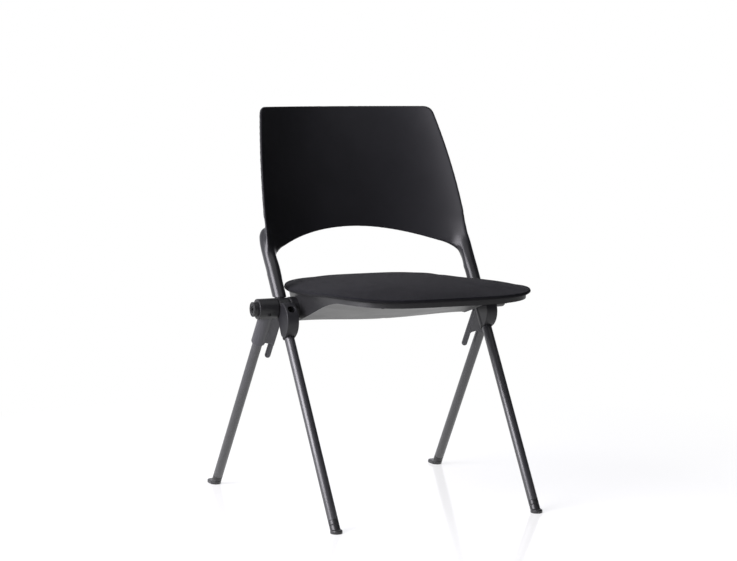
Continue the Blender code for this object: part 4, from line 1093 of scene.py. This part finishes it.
def pan_depths(y):
    """Depth of the cheek's foot and of the belly's middle below the band, both deepest at the hub axis."""
    if y > HUB_Y:
        share = 1 - min((y - HUB_Y) / (PAN_REAR - HUB_Y), 1.0) ** 2.2
        return CHEEK_DEPTH * share, BELLY_DEPTH * share
    cheek = max((y - CHEEK_START) / (HUB_Y - CHEEK_START), 0.0) ** 1.3
    belly = max((y - PAN_FRONT) / (HUB_Y - PAN_FRONT), 0.0) ** 0.93
    return CHEEK_DEPTH * cheek, max(BELLY_DEPTH * belly, CHEEK_DEPTH * cheek)


def pan_under(x, y):
    """Height of the belly's underside, inside the foot of the cheeks."""
    cheek, belly = pan_depths(y)
    share = min(abs(x) / max(pan_half_width(y) * CHEEK_FOOT, 0.001), 1.0)
    return PAN_TOP - sag(x, y) - PAN_BAND - cheek - (belly - cheek) * (1 - share**2)


print("pan from", round(PAN_FRONT, 4), "to", round(PAN_REAR, 4))


# %% The pan
def ringed(name, sides, rings, point):
    """A circle extruded into rings, each point then placed by its angle and ring number."""
    bpy.ops.object.select_all(action="DESELECT")
    bpy.ops.mesh.primitive_circle_add(vertices=sides, radius=1.0, fill_type="NOTHING")
    made = added(name)
    edit(made)
    bpy.ops.mesh.select_all(action="SELECT")
    for _ in range(rings - 1):
        bpy.ops.mesh.extrude_region_move(TRANSFORM_OT_translate={"value": (0, 0, -1.0)})
    bpy.ops.mesh.edge_face_add()
    leave()
    for vert in made.data.vertices:
        angle = math.atan2(vert.co.y, vert.co.x) + math.pi / sides
        vert.co = point(angle, round(-vert.co.z))
    return made


WALL_STEPS = 10
BELLY_SHARES = [0.994, 0.98, 0.96, 0.93, 0.89, 0.84, 0.78, 0.71]
BELLY_SHARES += [0.63, 0.54, 0.45, 0.36, 0.27, 0.18, 0.1, 0.04]


def pan_point(angle, ring):
    """The wall runs down from the rim, scooped in at the cheeks, and then the belly closes."""
    x, y = seat_point(angle, PAN_INSET)
    cheek, _ = pan_depths(y)
    foot = 1 - (1 - CHEEK_FOOT) * min(cheek / (CHEEK_DEPTH * 0.35), 1.0)
    if ring <= WALL_STEPS:
        down = ring / WALL_STEPS
        share = 1 - (1 - foot) * (1 - (1 - down) ** 1.7)
        height = PAN_TOP - sag(x, y) - (PAN_BAND + cheek) * down
        return x * share, HUB_Y + (y - HUB_Y) * (1 + (share - 1) * 0.3), height
    share = BELLY_SHARES[ring - WALL_STEPS - 1]
    x, y = x * foot * share, HUB_Y + (y - HUB_Y) * (1 + (foot - 1) * 0.3) * share
    return x, y, pan_under(x, y)


pan = ringed("seat_pan_skin", 192, WALL_STEPS + 1 + len(BELLY_SHARES), pan_point)
face_out(pan)
if sum(face.normal.z * face.area for face in pan.data.polygons) > 0:
    edit(pan)
    bpy.ops.mesh.select_all(action="SELECT")
    bpy.ops.mesh.flip_normals()
    leave()
shaped(pan, "SOLIDIFY", thickness=PAN_WALL, offset=-1.0)
BOSS_END, PIVOT_BOSS, BOARD_TOP = 0.2075, 0.0430, 0.4453
for side in (-1.0, 1.0):
    boss_start = on_axis(side * (BOSS_END - 0.06))
    joined(pan, rounded_bar("boss", boss_start, on_axis(side * BOSS_END), PIVOT_BOSS, 0.001))
PAD_SCREWS = [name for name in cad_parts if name.startswith("pad_screw")]
for name in PAD_SCREWS:
    low, high = (Vector(corner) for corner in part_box(name))
    middle = (low + high) / 2
    under = pan_under(middle.x, middle.y)
    joined(pan, bar("post", (middle.x, middle.y, under + 0.0015), (middle.x, middle.y, 0.4395), 0.012, 32))
for side in (-1.0, 1.0):
    cut(pan, bar("bore", on_axis(side * (BOSS_END - 0.07)), on_axis(side * (BOSS_END + 0.01)), 0.0366))
for name in PAD_SCREWS:
    low, high = (Vector(corner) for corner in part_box(name))
    middle = (low + high) / 2
    below = (middle.x, middle.y, low.z - 0.02)
    way = bar("way", below, (middle.x, middle.y, BOARD_TOP), 0.0046, 32)
    cut(pan, way, bar("sink", below, (middle.x, middle.y, low.z + 0.0026 + FIT), 0.0082, 32))
smooth(pan, 40)
# The pivot bosses' faces are painted black as the deep shade between pan and brackets.
hand_over(
    pan,
    "pan_plastic",
    "seat",
    "seat_pan",
    painted_shade=lambda point: off_axis(point) < PIVOT_BOSS / 2 + 0.0003 and abs(point.x) > 0.19,
)

# %% [markdown]
# ## The pad
# The pad is foam on a plywood board under a woven cover, thin at its rim and slightly crowned. Its start
# is modelled ring by ring a little low. Then Cloth with a light inner pressure puffs the cover while the
# underside is held, as the board holds it, and no point may move far. The board's pocket is cut
# afterwards. The rim's faces that turn sideways and down take a second copy of the cloth, with less blue
# and less sheen, as painted shade, below a fine welt that catches the light.

# %% The pad's start
RIM_STEPS = [(PAD_TUCK, 0.0), (PAD_TUCK * 0.55, 0.12), (PAD_TUCK * 0.2, 0.3), (0.0, 0.55), (0.0002, 0.75)]
RIM_STEPS += [(PAD_TUCK * 0.3, 0.9)]
TOP_SHARES = [1.0, 0.985, 0.965, 0.94, 0.91, 0.87, 0.82, 0.76]
TOP_SHARES += [0.69, 0.61, 0.52, 0.42, 0.32, 0.22, 0.12, 0.04]


def pad_point(angle, ring):
    if ring < len(RIM_STEPS):
        inset, rise = RIM_STEPS[ring]
        x, y = seat_point(angle, inset)
        return x, y, PAD_BOTTOM + PAD_RIM * rise - sag(x, y)
    share = TOP_SHARES[ring - len(RIM_STEPS)]
    x, y = seat_point(angle, PAD_TUCK)
    x, y = x * share, SEAT_MIDDLE + (y - SEAT_MIDDLE) * share
    return x, y, SEAT_EDGE + PAD_CROWN * (1 - share**6) - sag(x, y)


pad = ringed("seat_pad_skin", 192, len(RIM_STEPS) + len(TOP_SHARES), pad_point)
edit(pad)
pick("verts", lambda vert: vert.is_boundary)
bpy.ops.mesh.edge_face_add()
leave()
face_out(pad)
print("pad start", len(pad.data.polygons), "faces")

# %% Puffing the cover
PUFF_FRAMES, PUFF_LIMIT = 20, 0.0015
PUFF = {
    "quality": 6,
    "use_pressure": True,
    "uniform_pressure_force": 4.0,
    "tension_stiffness": 25.0,
    "compression_stiffness": 25.0,
    "shear_stiffness": 15.0,
    "bending_stiffness": 2.0,
}


def on_board(point):
    """1 on the underside, which the board holds."""
    return 1.0 if point.z < PAD_BOTTOM + 0.003 - sag(point.x, point.y) else 0.0


def on_top(point):
    return 1.0 if point.z > SEAT_EDGE + 0.001 - sag(point.x, point.y) else 0.0


only(pad)
bpy.ops.object.duplicate(linked=False)
cover = bpy.context.object
cover.name = "pad_cover"
cover.data.remesh_voxel_size = 0.0045
bpy.ops.object.voxel_remesh()
start = [vert.co.copy() for vert in cover.data.vertices]
puff = cover.modifiers.new("Cloth", "CLOTH")
for key, value in PUFF.items():
    setattr(puff.settings, key, value)
puff.settings.effector_weights.gravity = 0.0
puff.settings.vertex_group_mass = weigh(cover, "held", on_board)
for step in range(1, PUFF_FRAMES + 1):
    scene.frame_set(step)
only(cover)
bpy.ops.object.modifier_apply(modifier=puff.name)
scene.frame_set(1)
for vert, before in zip(cover.data.vertices, start):
    moved = vert.co - before
    if moved.length > PUFF_LIMIT:
        vert.co = before + moved * (PUFF_LIMIT / moved.length)
shaped(cover, "SMOOTH", factor=0.5, iterations=10)
moved = max((vert.co - before).length for vert, before in zip(cover.data.vertices, start))
print("cover moved up to", round(moved * 1000, 2), "mm")
top = weigh(pad, "top", on_top)
shaped(
    pad,
    "SHRINKWRAP",
    target=cover,
    wrap_method="PROJECT",
    use_project_z=True,
    use_negative_direction=True,
    use_positive_direction=True,
    vertex_group=top,
    project_limit=0.006,
)
bpy.data.objects.remove(cover, do_unlink=True)
shaped(pad, "SMOOTH", factor=0.5, iterations=20, vertex_group=top)
pad.vertex_groups.clear()

# %% Pocket and rim cloth
POCKET_INSET = 0.0235


def board_cutter(name, low, high):
    bpy.ops.object.select_all(action="DESELECT")
    bpy.ops.mesh.primitive_circle_add(vertices=128, radius=1.0, fill_type="NGON")
    made = added(name)
    for vert in made.data.vertices:
        x, y = seat_point(math.atan2(vert.co.y, vert.co.x) + 0.01, POCKET_INSET)
        vert.co = (x, y, low)
    edit(made)
    bpy.ops.mesh.select_all(action="SELECT")
    bpy.ops.mesh.extrude_region_move(TRANSFORM_OT_translate={"value": (0, 0, high - low)})
    leave()
    face_out(made)
    return made


cut(pad, board_cutter("pocket", PAD_BOTTOM - 0.02, BOARD_TOP + FIT))
smooth(pad, 60)
hand_over(pad, "seat_fabric", "seat", "seat_pad")
# The rim's sideways and downward faces get the second cloth: painted shade.
pad.data.materials.append(FINISH["rim_fabric_painted_shade"])
for face in pad.data.polygons:
    x, y, z = face.center
    if face.normal.z < 0.45 and z < SEAT_EDGE - sag(x, y):
        face.material_index = 1

# %% Welt
bpy.ops.object.select_all(action="DESELECT")
bpy.ops.mesh.primitive_circle_add(vertices=240, radius=1.0, fill_type="NOTHING")
welt = added("seat_welt")
for vert in welt.data.vertices:
    x, y = seat_point(math.atan2(vert.co.y, vert.co.x) + 0.01, PAD_TUCK * 0.42)
    vert.co = (x, y, PAD_BOTTOM + PAD_RIM * 0.93 - sag(x, y))
only(welt)
bpy.ops.object.convert(target="CURVE")
welt.data.bevel_depth = 0.0010
welt.data.bevel_resolution = 3
bpy.ops.object.convert(target="MESH")
face_out(welt)
smooth(welt, 60)
hand_over(welt, "seat_fabric", "seat")

# %% [markdown]
# ## Inner pieces that keep their CAD shape
# The beam, its plugs, the stops, the board, the bushes and the pad's screws are hidden or nearly so. Their
# CAD shapes are right, so they only take their finishes.

# %% Finishes for the carried-over nodes
KEPT = {
    "cross_beam": "black_steel",
    "beam_plug": "zinc_steel",
    "stop_lug": "black_steel",
    "stop_pad": "stop_rubber",
    "seat_board": "seat_board",
    "pivot_bush": "bush_nylon",
    "pad_screw": "black_steel",
}
for name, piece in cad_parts.items():
    for stem, finish_name in KEPT.items():
        if name.startswith(stem):
            for slot in piece.material_slots:
                slot.material = FINISH[finish_name]
            print(name, "keeps its CAD shape in", finish_name)

# %% [markdown]
# ## Floor, light and backdrop
# The photograph has a white ground, with faint reflections and small soft shadows at the feet. The floor
# is a disc. To the camera it glows, and near the chair a share of its lit and slightly glossy surface is
# added to a weaker glow, so that the sum is still about white and keeps the reflections and shadows.
# Mirror-like rays meet plain white, and all other rays meet the lit floor. The camera sees the world as
# white, while for light it is bright at the left and behind, and dim in front, which keeps the black
# surfaces that face the camera dark. A big soft box at the left front draws the long highlights down the
# legs and columns, and a weak one overhead lifts the seat.

# %% Floor
bpy.ops.object.select_all(action="DESELECT")
bpy.ops.mesh.primitive_circle_add(vertices=128, radius=4.0, fill_type="NGON")
floor_disc = added("floor")
paper = bpy.data.materials.new("white_floor")
paper.use_nodes = True
tree = paper.node_tree
tree.nodes.clear()
place = put(tree, "TexCoord").outputs["Object"]
away = put(tree, "VectorMath", {0: place}, operation="LENGTH").outputs["Value"]
outwards = {"Value": away, "From Min": 0.55, "From Max": 1.4}
near = put(tree, "MapRange", {**outwards, "To Min": 0.55, "To Max": 0.0})
glow = put(tree, "MapRange", {**outwards, "To Min": 0.61, "To Max": 1.0})
lit = put(tree, "BsdfDiffuse", {"Color": (0.9, 0.9, 0.9, 1.0)})
shine = put(tree, "BsdfGlossy", {"Color": (1.0, 1.0, 1.0, 1.0), "Roughness": 0.1})
surface = put(tree, "MixShader", {0: 0.35, 1: lit.outputs[0], 2: shine.outputs[0]})
nothing = put(tree, "Emission", {"Strength": 0.0})
faint = put(tree, "MixShader", {0: near.outputs[0], 1: nothing.outputs[0], 2: surface.outputs[0]})
bright = put(tree, "Emission", {"Strength": glow.outputs[0]})
shown = put(tree, "AddShader", {0: bright.outputs[0], 1: faint.outputs[0]})
white = put(tree, "Emission", {"Strength": 1.0})
ray = put(tree, "LightPath").outputs
seen = put(tree, "Math", {0: ray["Is Glossy Ray"], 1: ray["Is Transmission Ray"]}, operation="MAXIMUM")
for_light = put(tree, "MixShader", {0: seen.outputs[0], 1: lit.outputs[0], 2: white.outputs[0]})
last = put(tree, "MixShader", {0: ray["Is Camera Ray"], 1: for_light.outputs[0], 2: shown.outputs[0]})
put(tree, "OutputMaterial", {"Surface": last.outputs[0]})
floor_disc.data.materials.append(paper)
print("floor ready")

# %% World and lamps
world = bpy.data.worlds.new("studio")
scene.world = world
world.use_nodes = True
tree = world.node_tree
tree.nodes.clear()
way = put(tree, "TexCoord").outputs["Generated"]
left = put(tree, "VectorMath", {0: way, 1: (-0.9, 0.44, 0.0)}, operation="DOT_PRODUCT").outputs["Value"]
behind = put(tree, "SeparateXYZ", {"Vector": way}).outputs["Y"]
soft = {"interpolation_type": "SMOOTHSTEP"}
left_fade = put(tree, "MapRange", {"Value": left, "From Min": -0.1, "From Max": 0.8}, **soft).outputs[0]
rear_fade = put(tree, "MapRange", {"Value": behind, "From Min": 0.45, "From Max": 0.85}, **soft).outputs[0]
fade = put(tree, "Math", {0: left_fade, 1: rear_fade}, operation="MAXIMUM").outputs[0]
level = put(tree, "MapRange", {"Value": fade, "To Min": 0.07, "To Max": 0.95}).outputs[0]
studio = put(tree, "Background", {"Color": (0.94, 0.94, 1.0, 1.0), "Strength": level})
ground = put(tree, "Background", {"Color": (1.0, 1.0, 1.0, 1.0), "Strength": 1.0})
ray = put(tree, "LightPath").outputs
seen = put(tree, "Math", {0: ray["Is Camera Ray"], 1: ray["Is Transmission Ray"]}, operation="MAXIMUM")
mixed = put(tree, "MixShader", {0: seen.outputs[0], 1: studio.outputs[0], 2: ground.outputs[0]})
put(tree, "OutputWorld", {"Surface": mixed.outputs[0]})


def soft_box(name, place, target, width, height, power, colour=(1.0, 1.0, 1.0)):
    turn = (Vector(target) - Vector(place)).to_track_quat("-Z", "Y").to_euler()
    bpy.ops.object.light_add(type="AREA", location=place, rotation=turn)
    lamp = bpy.context.object
    lamp.name = name
    lamp.data.shape = "RECTANGLE"
    lamp.data.size, lamp.data.size_y = width, height
    lamp.data.energy = power
    lamp.data.color = colour
    print(name, power, "W")


soft_box("left_box", (-2.5, -0.6, 1.5), (0, 0, 0.4), 1.9, 2.3, 126.0, (0.96, 0.93, 1.0))
soft_box("top_box", (0.0, -0.4, 2.7), (0, 0, 0.4), 2.2, 2.2, 10.0)
